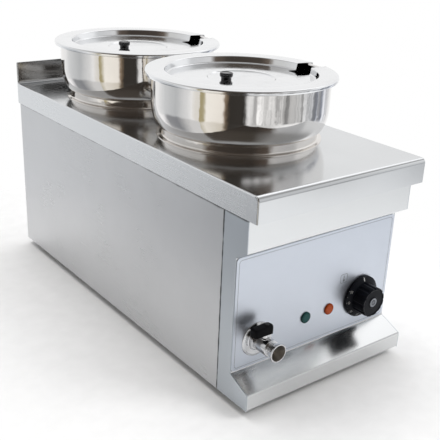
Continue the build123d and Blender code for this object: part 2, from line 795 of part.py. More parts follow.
with BuildPart() as water_tank:
    add(tank_outside)
    with BuildSketch(Plane.XY.offset(panel_top_z)):
        with Locations((0, tank_middle_y)):
            flange_growth = 2 * (SHEET + TANK_FLANGE)
            RectangleRounded(
                2 * tank_half_width + flange_growth,
                tank_length + flange_growth,
                TANK_CORNER + SHEET + TANK_FLANGE,
            )
    extrude(amount=-SHEET)
    add(tank_inside, mode=Mode.SUBTRACT)
    with BuildSketch(Plane.XY.offset(tank_floor_z)):
        with Locations(drain_place):
            Circle(PIPE_RADIUS + RUNNING_FIT)
    extrude(amount=-2 * SHEET, mode=Mode.SUBTRACT)
    with BuildSketch(upright(tank_front_y)):
        with Locations(*element_wall_places):
            Circle(FITTING_RADIUS + RUNNING_FIT)
        with Locations((KNOB_X, bulb_z)):
            Circle(BULB_FITTING + RUNNING_FIT)
    extrude(amount=2 * SHEET, mode=Mode.SUBTRACT)
water_tank.part.label = "water_tank"
export_step(water_tank.part, "parts/water_tank.step")


# Drain pipe: from the tank's floor down and forward to a socket behind the front panel

socket_start_y = recess_y + SHEET + SEAT_GAP
socket_end_y = socket_start_y + SOCKET_LENGTH
drain_path = [
    (drain_place[0], drain_place[1], tank_floor_z),
    (drain_place[0], drain_place[1], valve_z),
    (drain_place[0], socket_end_y - 3 * SHEET, valve_z),
]

with BuildPart() as drain_pipe:
    with BuildLine():
        FilletPolyline(*drain_path, radius=PIPE_BEND)
    with BuildSketch(facing_down(drain_place, tank_floor_z)):
        Circle(PIPE_RADIUS)
    sweep()
    with BuildSketch(upright(socket_end_y)):
        with Locations((VALVE_X, valve_z)):
            Circle(SOCKET_RADIUS)
    extrude(amount=SOCKET_LENGTH)
    with BuildLine():
        FilletPolyline(*drain_path, radius=PIPE_BEND)
    with BuildSketch(facing_down(drain_place, tank_floor_z)):
        Circle(PIPE_BORE)
    sweep(mode=Mode.SUBTRACT)
    with BuildSketch(upright(socket_end_y - 2 * SHEET)):
        with Locations((VALVE_X, valve_z)):
            Circle(VALVE_TAIL + RUNNING_FIT)
    extrude(amount=SOCKET_LENGTH, mode=Mode.SUBTRACT)
drain_pipe.part.label = "drain_pipe"
export_step(drain_pipe.part, "parts/drain_pipe.step")


# Drain valve: wall plate, chrome body with a flared spout, ball, stem, gland nut and lever

tail_end = -(socket_end_y - 4 * SHEET - plate_y)
chamber_rear = BALL_REACH - VALVE_BODY_RADIUS
chamber_front = BALL_REACH + VALVE_BODY_RADIUS
lever_z = valve_z + LEVER_BOTTOM
ball_y = plate_y - BALL_REACH
ball_centre = (VALVE_X, ball_y, valve_z)

with BuildPart() as valve_wall_plate:
    with BuildSketch(on_plate(VALVE_X, valve_z)):
        with BuildLine():
            Polyline(
                (0, WALL_PLATE_RADIUS),
                (WALL_PLATE_THICKNESS / 2, WALL_PLATE_RADIUS),
                (WALL_PLATE_THICKNESS, WALL_PLATE_RADIUS - WALL_PLATE_THICKNESS),
                (WALL_PLATE_THICKNESS, VALVE_TAIL + LOOSE_FIT),
                (0, VALVE_TAIL + LOOSE_FIT),
                (0, WALL_PLATE_RADIUS),
            )
        make_face()
    revolve(axis=plate_axis(VALVE_X, valve_z))
valve_wall_plate.part.label = "valve_wall_plate"
export_step(valve_wall_plate.part, "parts/valve_wall_plate.step")

with BuildPart() as drain_valve:
    with BuildSketch(on_plate(VALVE_X, valve_z)):
        with BuildLine():
            Polyline(
                (tail_end, 0),
                (tail_end, VALVE_TAIL),
                (WALL_PLATE_THICKNESS, VALVE_TAIL),
                (WALL_PLATE_THICKNESS, VALVE_BODY_RADIUS),
                (chamber_front - SHEET, VALVE_BODY_RADIUS),
                (chamber_front, VALVE_BODY_RADIUS - SHEET),
                (chamber_front, SPOUT_NECK),
                (VALVE_REACH - SPOUT_WALL, SPOUT_RADIUS),
                (VALVE_REACH, SPOUT_RADIUS),
                (VALVE_REACH, 0),
                (tail_end, 0),
            )
        make_face()
    revolve(axis=plate_axis(VALVE_X, valve_z))
    with BuildSketch(upright(plate_y - WALL_PLATE_THICKNESS)):
        with Locations((VALVE_X, valve_z)):
            RegularPolygon(VALVE_COLLAR_RADIUS, 6, major_radius=False)
    extrude(amount=chamber_rear - WALL_PLATE_THICKNESS)
    with BuildSketch(Plane(origin=ball_centre)):
        Circle(BOSS_RADIUS)
    extrude(amount=BOSS_TOP)
    with BuildSketch(on_plate(VALVE_X, valve_z)):
        with BuildLine():
            Polyline(
                (tail_end, 0),
                (tail_end, BALL_BORE),
                (chamber_front, BALL_BORE),
                (chamber_front + SPOUT_WALL, SPOUT_NECK - SPOUT_WALL),
                (VALVE_REACH, SPOUT_RADIUS - SPOUT_WALL),
                (VALVE_REACH, 0),
                (tail_end, 0),
            )
        make_face()
    revolve(axis=plate_axis(VALVE_X, valve_z), mode=Mode.SUBTRACT)
    chamber_radius = BALL_RADIUS + SEAT_GAP
    with BuildSketch(on_plate(VALVE_X, valve_z)):
        with BuildLine():
            ThreePointArc(
                (BALL_REACH - chamber_radius, 0),
                (BALL_REACH, chamber_radius),
                (BALL_REACH + chamber_radius, 0),
            )
            Line((BALL_REACH + chamber_radius, 0), (BALL_REACH - chamber_radius, 0))
        make_face()
    revolve(axis=plate_axis(VALVE_X, valve_z), mode=Mode.SUBTRACT)
    with BuildSketch(Plane(origin=ball_centre)):
        Circle(STEM_RADIUS + RUNNING_FIT)
    extrude(amount=BOSS_TOP, mode=Mode.SUBTRACT)
drain_valve.part.label = "drain_valve"
export_step(drain_valve.part, "parts/drain_valve.step")

ball_slot_z = valve_z + BALL_RADIUS - BALL_SLOT

with BuildPart() as valve_ball:
    with BuildSketch(Plane(origin=ball_centre)):
        with BuildLine():
            bore_end = (BALL_RADIUS**2 - BALL_BORE**2) ** 0.5
            ThreePointArc((-bore_end, BALL_BORE), (0, BALL_RADIUS), (bore_end, BALL_BORE))
            Line((bore_end, BALL_BORE), (-bore_end, BALL_BORE))
        make_face()
    revolve(axis=Axis(ball_centre, (1, 0, 0)))
    with BuildSketch(Plane(origin=(VALVE_X, ball_y, ball_slot_z))):
        Rectangle(2 * BALL_RADIUS, STEM_RADIUS + 2 * RUNNING_FIT)
    extrude(amount=BALL_RADIUS, mode=Mode.SUBTRACT)
valve_ball.part.label = "valve_ball"
export_step(valve_ball.part, "parts/valve_ball.step")

with BuildPart() as valve_stem:
    with BuildSketch(Plane(origin=(VALVE_X, ball_y, valve_z + BALL_RADIUS))):
        Circle(STEM_RADIUS)
    extrude(amount=LEVER_BOTTOM + LEVER_THICKNESS / 2 - BALL_RADIUS)
    with BuildSketch(Plane(origin=(VALVE_X, ball_y, ball_slot_z + RUNNING_FIT))):
        Rectangle(2 * STEM_RADIUS, STEM_RADIUS)
        Circle(STEM_RADIUS, mode=Mode.INTERSECT)
    extrude(amount=BALL_SLOT)
valve_stem.part.label = "valve_stem"
export_step(valve_stem.part, "parts/valve_stem.step")

with BuildPart() as valve_gland_nut:
    boss_plane = Plane(origin=(VALVE_X, ball_y, valve_z + BOSS_TOP))
    gland_nut_height = LEVER_BOTTOM - BOSS_TOP - SEAT_GAP
    add(make_hex_nut(boss_plane, 2 * BOSS_RADIUS, STEM_RADIUS + RUNNING_FIT, gland_nut_height))
valve_gland_nut.part.label = "valve_gland_nut"
export_step(valve_gland_nut.part, "parts/valve_gland_nut.step")

with BuildPart() as valve_lever:
    with BuildSketch(Plane(origin=(VALVE_X, ball_y, lever_z))):
        Circle(LEVER_HUB)
        with Locations((-LEVER_LENGTH / 2, 0)):
            RectangleRounded(LEVER_LENGTH, LEVER_WIDTH, LEVER_WIDTH / 5)
    extrude(amount=LEVER_THICKNESS)
    fillet(valve_lever.faces().sort_by(Axis.Z)[-1].edges(), LEVER_THICKNESS / 6)
    with BuildSketch(Plane(origin=(VALVE_X, ball_y, lever_z))):
        Circle(STEM_RADIUS + RUNNING_FIT)
    extrude(amount=LEVER_THICKNESS / 2 + RUNNING_FIT, mode=Mode.SUBTRACT)
    with BuildSketch(Plane(origin=(VALVE_X, ball_y, lever_z))):
        Circle(LEVER_SCREW + RUNNING_FIT)
    extrude(amount=LEVER_THICKNESS, mode=Mode.SUBTRACT)
valve_lever.part.label = "valve_lever"
export_step(valve_lever.part, "parts/valve_lever.step")

with BuildPart() as valve_lever_screw:
    lever_top = Plane(origin=(VALVE_X, ball_y, lever_z + LEVER_THICKNESS))
    add(make_screw(lever_top, LEVER_SCREW, LEVER_THICKNESS / 2 - RUNNING_FIT, 2 * LEVER_SCREW, LEVER_SCREW))
valve_lever_screw.part.label = "valve_lever_screw"
export_step(valve_lever_screw.part, "parts/valve_lever_screw.step")


# Thermostat: body behind the front panel, spindle, fluted knob with a wide skirt, bright cap

knob_hollow_radius = KNOB_SKIRT_RADIUS - KNOB_SKIRT_WALL
thermostat_y = recess_y + SHEET

with BuildPart() as thermostat:
    with BuildSketch(upright(thermostat_y + THERMOSTAT_DEPTH)):
        with Locations((KNOB_X, knob_z)):
            RectangleRounded(THERMOSTAT_WIDTH, THERMOSTAT_HEIGHT, THERMOSTAT_WIDTH / 8)
    extrude(amount=THERMOSTAT_DEPTH)
    with BuildSketch(upright(thermostat_y + THERMOSTAT_DEPTH)):
        with Locations((KNOB_X, knob_z)):
            with GridLocations(THERMOSTAT_WIDTH / 2, THERMOSTAT_HEIGHT / 2, 2, 2):
                Rectangle(TAB_WIDTH, TAB_THICKNESS)
    extrude(amount=-TAB_LENGTH)
    with BuildSketch(upright(thermostat_y)):
        with Locations((KNOB_X, knob_z)):
            Circle(SPINDLE_RADIUS + RUNNING_FIT)
            with GridLocations(THERMOSTAT_SCREW_SPACING, 1, 2, 1):
                Circle(PANEL_SCREW + RUNNING_FIT)
    extrude(amount=-THERMOSTAT_DEPTH / 2, mode=Mode.SUBTRACT)
thermostat.part.label = "thermostat"
export_step(thermostat.part, "parts/thermostat.step")

with BuildPart() as thermostat_screws:
    for offset_x in (-THERMOSTAT_SCREW_SPACING / 2, THERMOSTAT_SCREW_SPACING / 2):
        screw_plane = Plane(origin=(KNOB_X + offset_x, plate_y, knob_z), x_dir=(1, 0, 0), z_dir=(0, -1, 0))
        screw_length = PLATE_THICKNESS + SHEET + THERMOSTAT_DEPTH / 4
        add(make_screw(screw_plane, PANEL_SCREW, screw_length, SCREW_HEAD, SCREW_HEAD_HEIGHT))
thermostat_screws.part.label = "thermostat_screws"
export_step(thermostat_screws.part, "parts/thermostat_screws.step")

spindle_end = KNOB_REACH - KNOB_SKIRT_WALL

with BuildPart() as thermostat_spindle:
    with BuildSketch(upright(thermostat_y + THERMOSTAT_DEPTH / 4)):
        with Locations((KNOB_X, knob_z)):
            Circle(SPINDLE_RADIUS)
    extrude(amount=THERMOSTAT_DEPTH / 4 + SHEET + PLATE_THICKNESS + spindle_end)
thermostat_spindle.part.label = "thermostat_spindle"
export_step(thermostat_spindle.part, "parts/thermostat_spindle.step")

skirt_face = KNOB_GAP + KNOB_SKIRT_RIM + KNOB_SKIRT_RISE

with BuildPart() as thermostat_knob:
    with BuildSketch(on_plate(KNOB_X, knob_z)):
        with BuildLine():
            Polyline(
                (KNOB_GAP, 0),
                (KNOB_GAP, KNOB_SKIRT_RADIUS),
                (KNOB_GAP + KNOB_SKIRT_RIM, KNOB_SKIRT_RADIUS),
                (skirt_face, KNOB_GRIP_RADIUS + KNOB_SKIRT_WALL / 2),
                (skirt_face, KNOB_GRIP_RADIUS),
                (KNOB_REACH - KNOB_SKIRT_WALL / 2, KNOB_GRIP_RADIUS),
                (KNOB_REACH, KNOB_GRIP_RADIUS - KNOB_SKIRT_WALL / 2),
                (KNOB_REACH, 0),
                (KNOB_GAP, 0),
            )
        make_face()
    revolve(axis=plate_axis(KNOB_X, knob_z))
    with BuildSketch(upright(plate_y - KNOB_REACH)):
        with Locations((KNOB_X, knob_z)):
            with PolarLocations(KNOB_GRIP_RADIUS + 0.7 * KNOB_FLUTE_RADIUS, KNOB_FLUTES):
                Circle(KNOB_FLUTE_RADIUS)
    extrude(amount=-(KNOB_REACH - skirt_face), mode=Mode.SUBTRACT)
    with BuildSketch(upright(plate_y - KNOB_GAP)):
        with Locations((KNOB_X, knob_z)):
            Circle(knob_hollow_radius)
            Circle(2 * SPINDLE_RADIUS, mode=Mode.SUBTRACT)
    extrude(amount=KNOB_SKIRT_RIM, mode=Mode.SUBTRACT)
    with BuildSketch(upright(plate_y - KNOB_GAP)):
        with Locations((KNOB_X, knob_z)):
            Circle(SPINDLE_RADIUS + RUNNING_FIT)
    extrude(amount=spindle_end - KNOB_GAP, mode=Mode.SUBTRACT)
    with BuildSketch(upright(plate_y - KNOB_REACH)):
        with Locations((KNOB_X, knob_z)):
            Circle(KNOB_CAP_RADIUS + RUNNING_FIT)
    extrude(amount=-KNOB_CAP_SINK, mode=Mode.SUBTRACT)
thermostat_knob.part.label = "thermostat_knob"
export_step(thermostat_knob.part, "parts/thermostat_knob.step")

with BuildPart() as thermostat_knob_cap:
    with BuildSketch(upright(plate_y - KNOB_REACH + KNOB_CAP_SINK)):
        with Locations((KNOB_X, knob_z)):
            Circle(KNOB_CAP_RADIUS)
    extrude(amount=KNOB_CAP_SINK - RUNNING_FIT)
thermostat_knob_cap.part.label = "thermostat_knob_cap"
export_step(thermostat_knob_cap.part, "parts/thermostat_knob_cap.step")


# Temperature sensing: capillary from the thermostat's top to a bulb in the water

capillary_y = thermostat_y + THERMOSTAT_DEPTH / 2
capillary_path = [
    (KNOB_X, capillary_y, knob_z + THERMOSTAT_HEIGHT / 2),
    (KNOB_X, capillary_y, bulb_z),
    (KNOB_X, tank_front_y + BULB_FITTING, bulb_z),
]

with BuildPart() as capillary_tube:
    with BuildLine():
        FilletPolyline(*capillary_path, radius=CAPILLARY_BEND)
    with BuildSketch(Plane(origin=capillary_path[0])):
        Circle(CAPILLARY_RADIUS)
    sweep()
capillary_tube.part.label = "capillary_tube"
export_step(capillary_tube.part, "parts/capillary_tube.step")

with BuildPart() as sensing_bulb:
    with BuildSketch(upright(tank_front_y + BULB_FITTING)):
        with Locations((KNOB_X, bulb_z)):
            Circle(BULB_RADIUS)
    extrude(amount=-BULB_LENGTH)
    fillet(sensing_bulb.edges().sort_by(Axis.Y)[-1], BULB_RADIUS / 2)
sensing_bulb.part.label = "sensing_bulb"
export_step(sensing_bulb.part, "parts/sensing_bulb.step")


def make_wall_fitting(x, z, radius, flange, bore):
    """Turned fitting through the tank's front wall, with its flange against the wall inside."""
    with BuildPart() as fitting:
        with BuildSketch(upright(tank_front_y + 2 * SHEET)):
            with Locations((x, z)):
                Circle(flange)
        extrude(amount=2 * SHEET)
        with BuildSketch(upright(tank_front_y)):
            with Locations((x, z)):
                Circle(radius)
        extrude(amount=SHEET + radius)
        with BuildSketch(upright(tank_front_y + 2 * SHEET)):
            with Locations((x, z)):
                Circle(bore)
        extrude(amount=3 * SHEET + radius, mode=Mode.SUBTRACT)
    return fitting.part


def outside_wall_plane(x, z):
    """Plane on the outside of the tank's front wall, facing the front."""
    return Plane(origin=(x, tank_front_y - SHEET, z), x_dir=(1, 0, 0), z_dir=(0, -1, 0))


with BuildPart() as bulb_fitting:
    capillary_bore = CAPILLARY_RADIUS + RUNNING_FIT
    add(make_wall_fitting(KNOB_X, bulb_z, BULB_FITTING, 1.5 * BULB_FITTING, capillary_bore))
bulb_fitting.part.label = "bulb_fitting"
export_step(bulb_fitting.part, "parts/bulb_fitting.step")

with BuildPart() as element_fittings:
    for fitting_x, fitting_z in element_wall_places:
        element_bore = ELEMENT_RADIUS + RUNNING_FIT
        add(make_wall_fitting(fitting_x, fitting_z, FITTING_RADIUS, FITTING_FLANGE, element_bore))
element_fittings.part.label = "element_fittings"
export_step(element_fittings.part, "parts/element_fittings.step")

with BuildPart() as element_nuts:
    for fitting_x, fitting_z in element_wall_places:
        nut_plane = outside_wall_plane(fitting_x, fitting_z)
        add(make_hex_nut(nut_plane, 2 * FITTING_FLANGE, FITTING_RADIUS + RUNNING_FIT, 0.7 * FITTING_RADIUS))
element_nuts.part.label = "element_nuts"
export_step(element_nuts.part, "parts/element_nuts.step")


# Heating element: one tube laid in four runs above the tank's floor, on two rests

element_rear_y = tank_rear_y - ELEMENT_END_GAP
element_front_y = tank_front_y + ELEMENT_END_GAP
element_tail_y = tank_front_y - SHEET - ELEMENT_TAIL
element_ys = [element_tail_y, element_rear_y, element_rear_y, element_front_y]
element_ys += element_ys[::-1]
element_xs = [x for x in element_row_x for _ in range(2)]
element_path = [(x, y, element_z) for x, y in zip(element_xs, element_ys)]

with BuildPart() as heating_element:
    with BuildLine():
        FilletPolyline(*element_path, radius=ELEMENT_BEND)
    with BuildSketch(Plane(origin=element_path[0], x_dir=(1, 0, 0), z_dir=(0, 1, 0))):
        Circle(ELEMENT_RADIUS)
    sweep()
    with BuildSketch(upright(element_tail_y)):
        with Locations(*element_wall_places):
            Circle(ELEMENT_RADIUS / 2)
    extrude(amount=ELEMENT_TAIL / 2)
heating_element.part.label = "heating_element"
export_step(heating_element.part, "parts/heating_element.step")

rest_height = element_z - ELEMENT_RADIUS - tank_floor_z - RUNNING_FIT

with BuildPart() as element_rests:
    for rest_y in (front_pot_y, rear_pot_y):
        with BuildSketch(Plane.YZ.offset(element_row_x[0] - ELEMENT_PITCH / 2)):
            with Locations((rest_y, tank_floor_z + rest_height / 2)):
                Rectangle(REST_WIDTH, rest_height)
            with Locations((rest_y, tank_floor_z + (rest_height - SHEET) / 2)):
                Rectangle(REST_WIDTH - 2 * SHEET, rest_height - SHEET, mode=Mode.SUBTRACT)
        extrude(amount=4 * ELEMENT_PITCH)
element_rests.part.label = "element_rests"
export_step(element_rests.part, "parts/element_rests.step")


# Overheat cut-out: disc with a flange, welded by the flange to the tank's floor from below

cutout_place = (CUTOUT_X, front_pot_y + POT_PITCH / 2)
tank_underside_z = tank_floor_z - SHEET

with BuildPart() as overheat_cutout:
    with BuildSketch(facing_down(cutout_place, tank_underside_z)):
        SlotOverall(2 * CUTOUT_FLANGE, 2 * TAB_WIDTH)
    extrude(amount=TAB_THICKNESS)
    with BuildSketch(facing_down(cutout_place, tank_underside_z)):
        Circle(CUTOUT_RADIUS)
    extrude(amount=CUTOUT_HEIGHT)
    with BuildSketch(facing_down(cutout_place, tank_underside_z - CUTOUT_HEIGHT)):
        with GridLocations(CUTOUT_RADIUS, 1, 2, 1):
            Rectangle(TAB_THICKNESS, TAB_WIDTH)
    extrude(amount=TAB_LENGTH)
overheat_cutout.part.label = "overheat_cutout"
export_step(overheat_cutout.part, "parts/overheat_cutout.step")


# Lamps: lens in front of the plate, body behind the front panel, spring nut on the barrel


def make_lamp_lens(x):
    """Round lens with a rounded rim and a short barrel through the front panel."""
    with BuildPart() as lens:
        with BuildSketch(upright(plate_y)):
            with Locations((x, lamp_z)):
                Circle(LAMP_RADIUS)
        extrude(amount=LAMP_RISE)
        fillet(lens.faces().sort_by(Axis.Y)[0].edges(), 0.6 * LAMP_RISE)
        with BuildSketch(upright(plate_y)):
            with Locations((x, lamp_z)):
                Circle(LAMP_BARREL)
        extrude(amount=-(PLATE_THICKNESS + SHEET))
    return lens.part


def make_lamp_body(x):
    """Barrel behind the front panel with two tabs at its rear."""
    with BuildPart() as body:
        with BuildSketch(upright(recess_y + SHEET)):
            with Locations((x, lamp_z)):
                Circle(LAMP_BARREL)
        extrude(amount=-LAMP_BODY_LENGTH)
        with BuildSketch(upright(recess_y + SHEET + LAMP_BODY_LENGTH)):
            with Locations((x, lamp_z)):
                with GridLocations(1, LAMP_BARREL, 1, 2):
                    Rectangle(TAB_WIDTH, TAB_THICKNESS)
        extrude(amount=-TAB_LENGTH)
    return body.part


for lamp_name, lamp_x in (("power_lamp", POWER_LAMP_X), ("heating_lamp", HEATING_LAMP_X)):
    lamp_lens = make_lamp_lens(lamp_x)
    lamp_lens.label = f"{lamp_name}_lens"
    export_step(lamp_lens, f"parts/{lamp_name}_lens.step")
    lamp_body = make_lamp_body(lamp_x)
    lamp_body.label = f"{lamp_name}_body"
    export_step(lamp_body, f"parts/{lamp_name}_body.step")

with BuildPart() as lamp_nuts:
    for lamp_x in (POWER_LAMP_X, HEATING_LAMP_X):
        with BuildSketch(upright(recess_y + SHEET + SPRING_NUT)):
            with Locations((lamp_x, lamp_z)):
                Circle(LAMP_BARREL + 2 * SPRING_NUT)
                Circle(LAMP_BARREL + RUNNING_FIT, mode=Mode.SUBTRACT)
        extrude(amount=SPRING_NUT)
lamp_nuts.part.label = "lamp_nuts"
export_step(lamp_nuts.part, "parts/lamp_nuts.step")


# Supply: terminal block and earth stud on the base plate, cable gland in the rear panel

base_top_z = base_plate_z + SHEET
terminal_place = (GLAND_X - TERMINAL_LENGTH, back(DEPTH - EARTH_INSET))

with BuildPart() as terminal_block:
    with BuildSketch(Plane(origin=(*terminal_place, base_top_z))):
        RectangleRounded(TERMINAL_LENGTH, TERMINAL_WIDTH, SHEET)
    extrude(amount=TERMINAL_HEIGHT)
    with BuildSketch(Plane(origin=(*terminal_place, base_top_z + TERMINAL_HEIGHT))):
        with GridLocations(TERMINAL_LENGTH / 4, TERMINAL_WIDTH / 2, 3, 2):
            Circle(PANEL_SCREW)
    extrude(amount=-TERMINAL_HEIGHT / 2, mode=Mode.SUBTRACT)
terminal_block.part.label = "terminal_block"
export_step(terminal_block.part, "parts/terminal_block.step")

with BuildPart() as earth_stud:
    head_plane = facing_down(earth_place, base_plate_z)
    add(make_screw(head_plane, STUD_RADIUS, STUD_LENGTH, SCREW_HEAD, SHEET / 2))
earth_stud.part.label = "earth_stud"
export_step(earth_stud.part, "parts/earth_stud.step")

with BuildPart() as earth_nut:
    nut_plane = Plane(origin=(*earth_place, base_top_z))
    add(make_hex_nut(nut_plane, STUD_NUT_FLATS, STUD_RADIUS + RUNNING_FIT, STUD_NUT_THICKNESS))
earth_nut.part.label = "earth_nut"
export_step(earth_nut.part, "parts/earth_nut.step")

with BuildPart() as cable_gland:
    with BuildSketch(Plane(origin=(GLAND_X, rear_y, gland_z), x_dir=(0, 1, 0), z_dir=(1, 0, 0))):
        with BuildLine():
            Polyline(
                (-2 * GLAND_THREAD, CORD_BORE),
                (-2 * GLAND_THREAD, GLAND_THREAD),
                (0, GLAND_THREAD),
                (0, GLAND_CAP),
                (GLAND_REACH - GLAND_CAP / 3, GLAND_CAP),
                (GLAND_REACH, 2 * GLAND_CAP / 3),
                (GLAND_REACH, CORD_BORE),
                (-2 * GLAND_THREAD, CORD_BORE),
            )
        make_face()
    revolve(axis=Axis((GLAND_X, rear_y, gland_z), (0, 1, 0)))
    with BuildSketch(Plane(origin=(GLAND_X, rear_y, gland_z), x_dir=(1, 0, 0), z_dir=(0, 1, 0))):
        RegularPolygon(GLAND_COLLAR, 6, major_radius=False)
        Circle(GLAND_THREAD, mode=Mode.SUBTRACT)
    extrude(amount=GLAND_COLLAR_THICKNESS)
cable_gland.part.label = "cable_gland"
export_step(cable_gland.part, "parts/cable_gland.step")

with BuildPart() as cable_gland_nut:
    inside_plane = Plane(origin=(GLAND_X, rear_y - SHEET, gland_z), x_dir=(1, 0, 0), z_dir=(0, -1, 0))
    add(make_hex_nut(inside_plane, 2 * GLAND_COLLAR, GLAND_THREAD + RUNNING_FIT, GLAND_COLLAR_THICKNESS))
cable_gland_nut.part.label = "cable_gland_nut"
export_step(cable_gland_nut.part, "parts/cable_gland_nut.step")
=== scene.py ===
import json
from math import asin, atan2, cos, pi, radians, sin, sqrt, tan

import bmesh
import bpy
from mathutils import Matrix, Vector


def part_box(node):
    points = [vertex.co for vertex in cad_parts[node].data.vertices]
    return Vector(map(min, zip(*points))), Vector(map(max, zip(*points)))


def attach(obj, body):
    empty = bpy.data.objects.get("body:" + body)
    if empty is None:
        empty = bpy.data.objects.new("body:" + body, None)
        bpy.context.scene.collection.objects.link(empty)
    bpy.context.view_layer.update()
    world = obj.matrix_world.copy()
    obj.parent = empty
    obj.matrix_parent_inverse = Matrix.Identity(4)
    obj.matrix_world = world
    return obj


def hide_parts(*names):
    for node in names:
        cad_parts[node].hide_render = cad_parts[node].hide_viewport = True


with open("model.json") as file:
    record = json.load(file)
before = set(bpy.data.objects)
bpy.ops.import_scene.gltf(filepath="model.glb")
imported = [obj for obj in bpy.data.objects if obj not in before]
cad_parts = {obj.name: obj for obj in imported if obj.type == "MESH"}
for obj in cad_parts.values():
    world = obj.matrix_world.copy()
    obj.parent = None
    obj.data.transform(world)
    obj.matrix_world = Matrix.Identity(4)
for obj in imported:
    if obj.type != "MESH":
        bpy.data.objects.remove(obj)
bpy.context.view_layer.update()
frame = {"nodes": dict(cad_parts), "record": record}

# Places and sizes are in millimetres, as in the CAD, and become metres when a mesh is made.
MM = 0.001
FRONT_Y = -343.35
PLATE_Y = -305.35
DECK_Z = 312.0
ROLL = 7.0
REAR_Y = 334.35
POTS = {"front": -115.35, "rear": 168.65}
NOTCH_TURN = radians(-8)
KNOB_X, KNOB_Z = 90.0, 100.0
VALVE_X, VALVE_Z = -106.0, 91.0
LAMP_X, LAMP_Z = {"green": -18.0, "orange": 27.0}, 96.0
# In metres, as the materials measure them
# Height where the painted dark reflection on the deck's upstand begins
UPSTAND_FOOT = (0.3125, 0.316)
# Height band of the painted shadow under the apron, and the place of the cheek joint
APRON_SHADOW_BAND, CHEEK_JOINT_Y = (0.2742, 0.2768), -0.2771

scene = bpy.context.scene


# ---------------------------------------------------------------- node helpers


def new_material(name):
    """Empty node material with its output."""
    material = bpy.data.materials.new(name)
    material.use_nodes = True
    material.node_tree.nodes.clear()
    return material, material.node_tree


def node(tree, kind, inputs=None, **settings):
    """Node of this kind. An input is a socket to link or a value to set."""
    made = tree.nodes.new(kind)
    for key, value in settings.items():
        setattr(made, key, value)
    for key, value in (inputs or {}).items():
        if isinstance(value, bpy.types.NodeSocket):
            tree.links.new(value, made.inputs[key])
        else:
            made.inputs[key].default_value = value
    return made


def object_point(tree, scale=(1, 1, 1)):
    """Point on the piece in metres, scaled."""
    coords = node(tree, "ShaderNodeTexCoord").outputs["Object"]
    return node(tree, "ShaderNodeMapping", {"Vector": coords, "Scale": scale}).outputs["Vector"]


def noise_at(tree, point, scale, detail, roughness=0.5):
    """Noise value at this point."""
    values = {"Vector": point, "Scale": scale, "Detail": detail, "Roughness": roughness}
    return node(tree, "ShaderNodeTexNoise", values).outputs["Fac"]


def noise(tree, scale, detail=3.0, roughness=0.5, stretch=(1, 1, 1)):
    """Noise value, stretched along an axis whose share is under 1."""
    return noise_at(tree, object_point(tree, stretch), scale, detail, roughness)


def remap(tree, value, low, high, start=0.0, end=1.0, kind="LINEAR"):
    """Value from low..high laid onto start..end."""
    values = {"Value": value, "From Min": low, "From Max": high, "To Min": start, "To Max": end}
    return node(tree, "ShaderNodeMapRange", values, interpolation_type=kind).outputs["Result"]


def math_node(tree, operation, first, second=0.0, clamp=False):
    """Result of one calculation."""
    made = node(tree, "ShaderNodeMath", {0: first, 1: second}, operation=operation, use_clamp=clamp)
    return made.outputs[0]


def plus(tree, first, second, clamp=False):
    """Sum of two values."""
    return math_node(tree, "ADD", first, second, clamp)


def times(tree, first, second):
    """Product of two values."""
    return math_node(tree, "MULTIPLY", first, second)


def blend_colours(tree, factor, first, second):
    """Colour between two by the factor."""
    made = node(tree, "ShaderNodeMix", data_type="RGBA")
    for index, value in ((0, factor), (6, first), (7, second)):
        if isinstance(value, bpy.types.NodeSocket):
            tree.links.new(value, made.inputs[index])
        else:
            made.inputs[index].default_value = value if index == 0 else (*value, 1)
    return made.outputs[2]


def ramp(tree, value, stops):
    """Colour ramp with (place, colour) stops."""
    made = node(tree, "ShaderNodeValToRGB", {"Fac": value})
    elements = made.color_ramp.elements
    while len(elements) < len(stops):
        elements.new(0.5)
    for element, (place, colour) in zip(elements, stops):
        element.position = place
        element.color = (*colour, 1)
    return made.outputs["Color"]


def shaded(tree, **inputs):
    """Principled surface wired to the output; underscores stand for spaces in input names."""
    values = {key.replace("_", " "): value for key, value in inputs.items()}
    surface = node(tree, "ShaderNodeBsdfPrincipled", values)
    node(tree, "ShaderNodeOutputMaterial", {"Surface": surface.outputs[0]})


def bumped(tree, height, strength, distance, under=None):
    """Normal bent by a height, over another one."""
    values = {"Height": height, "Strength": strength, "Distance": distance}
    if under:
        values["Normal"] = under
    return node(tree, "ShaderNodeBump", values).outputs[0]


def spread(tree, value, low, high):
    """Middle range of a noise laid onto low..high."""
    return remap(tree, value, 0.3, 0.7, low, high)


def parts_of(tree, vector):
    """X, Y and Z of a vector."""
    return node(tree, "ShaderNodeSeparateXYZ", {"Vector": vector}).outputs


def side_facing(tree):
    """1 on faces that look to the left or right, else 0."""
    facing = parts_of(tree, node(tree, "ShaderNodeTexCoord").outputs["Normal"])
    return math_node(tree, "GREATER_THAN", math_node(tree, "ABSOLUTE", facing["X"]), 0.8)


def length_of(tree, x, y):
    """Length of a flat vector."""
    both = node(tree, "ShaderNodeCombineXYZ", {"X": x, "Y": y}).outputs[0]
    return node(tree, "ShaderNodeVectorMath", {0: both}, operation="LENGTH").outputs["Value"]


def reach_from(tree, x, z):
    """Distance in metres from the line along Y through x and z in millimetres."""
    coords = node(tree, "ShaderNodeTexCoord").outputs["Object"]
    off = node(tree, "ShaderNodeVectorMath", {0: coords, 1: (x * MM, 0, z * MM)}, operation="SUBTRACT")
    flat = node(tree, "ShaderNodeVectorMath", {0: off.outputs[0], 1: (1, 0, 1)}, operation="MULTIPLY")
    return node(tree, "ShaderNodeVectorMath", {0: flat.outputs[0]}, operation="LENGTH").outputs["Value"]


def scaled(colour, share):
    """Colour times a share."""
    return tuple(part * share for part in colour)


def grey(value):
    """Colour with three equal parts."""
    return value, value, value


# ------------------------------------------------------------------- materials


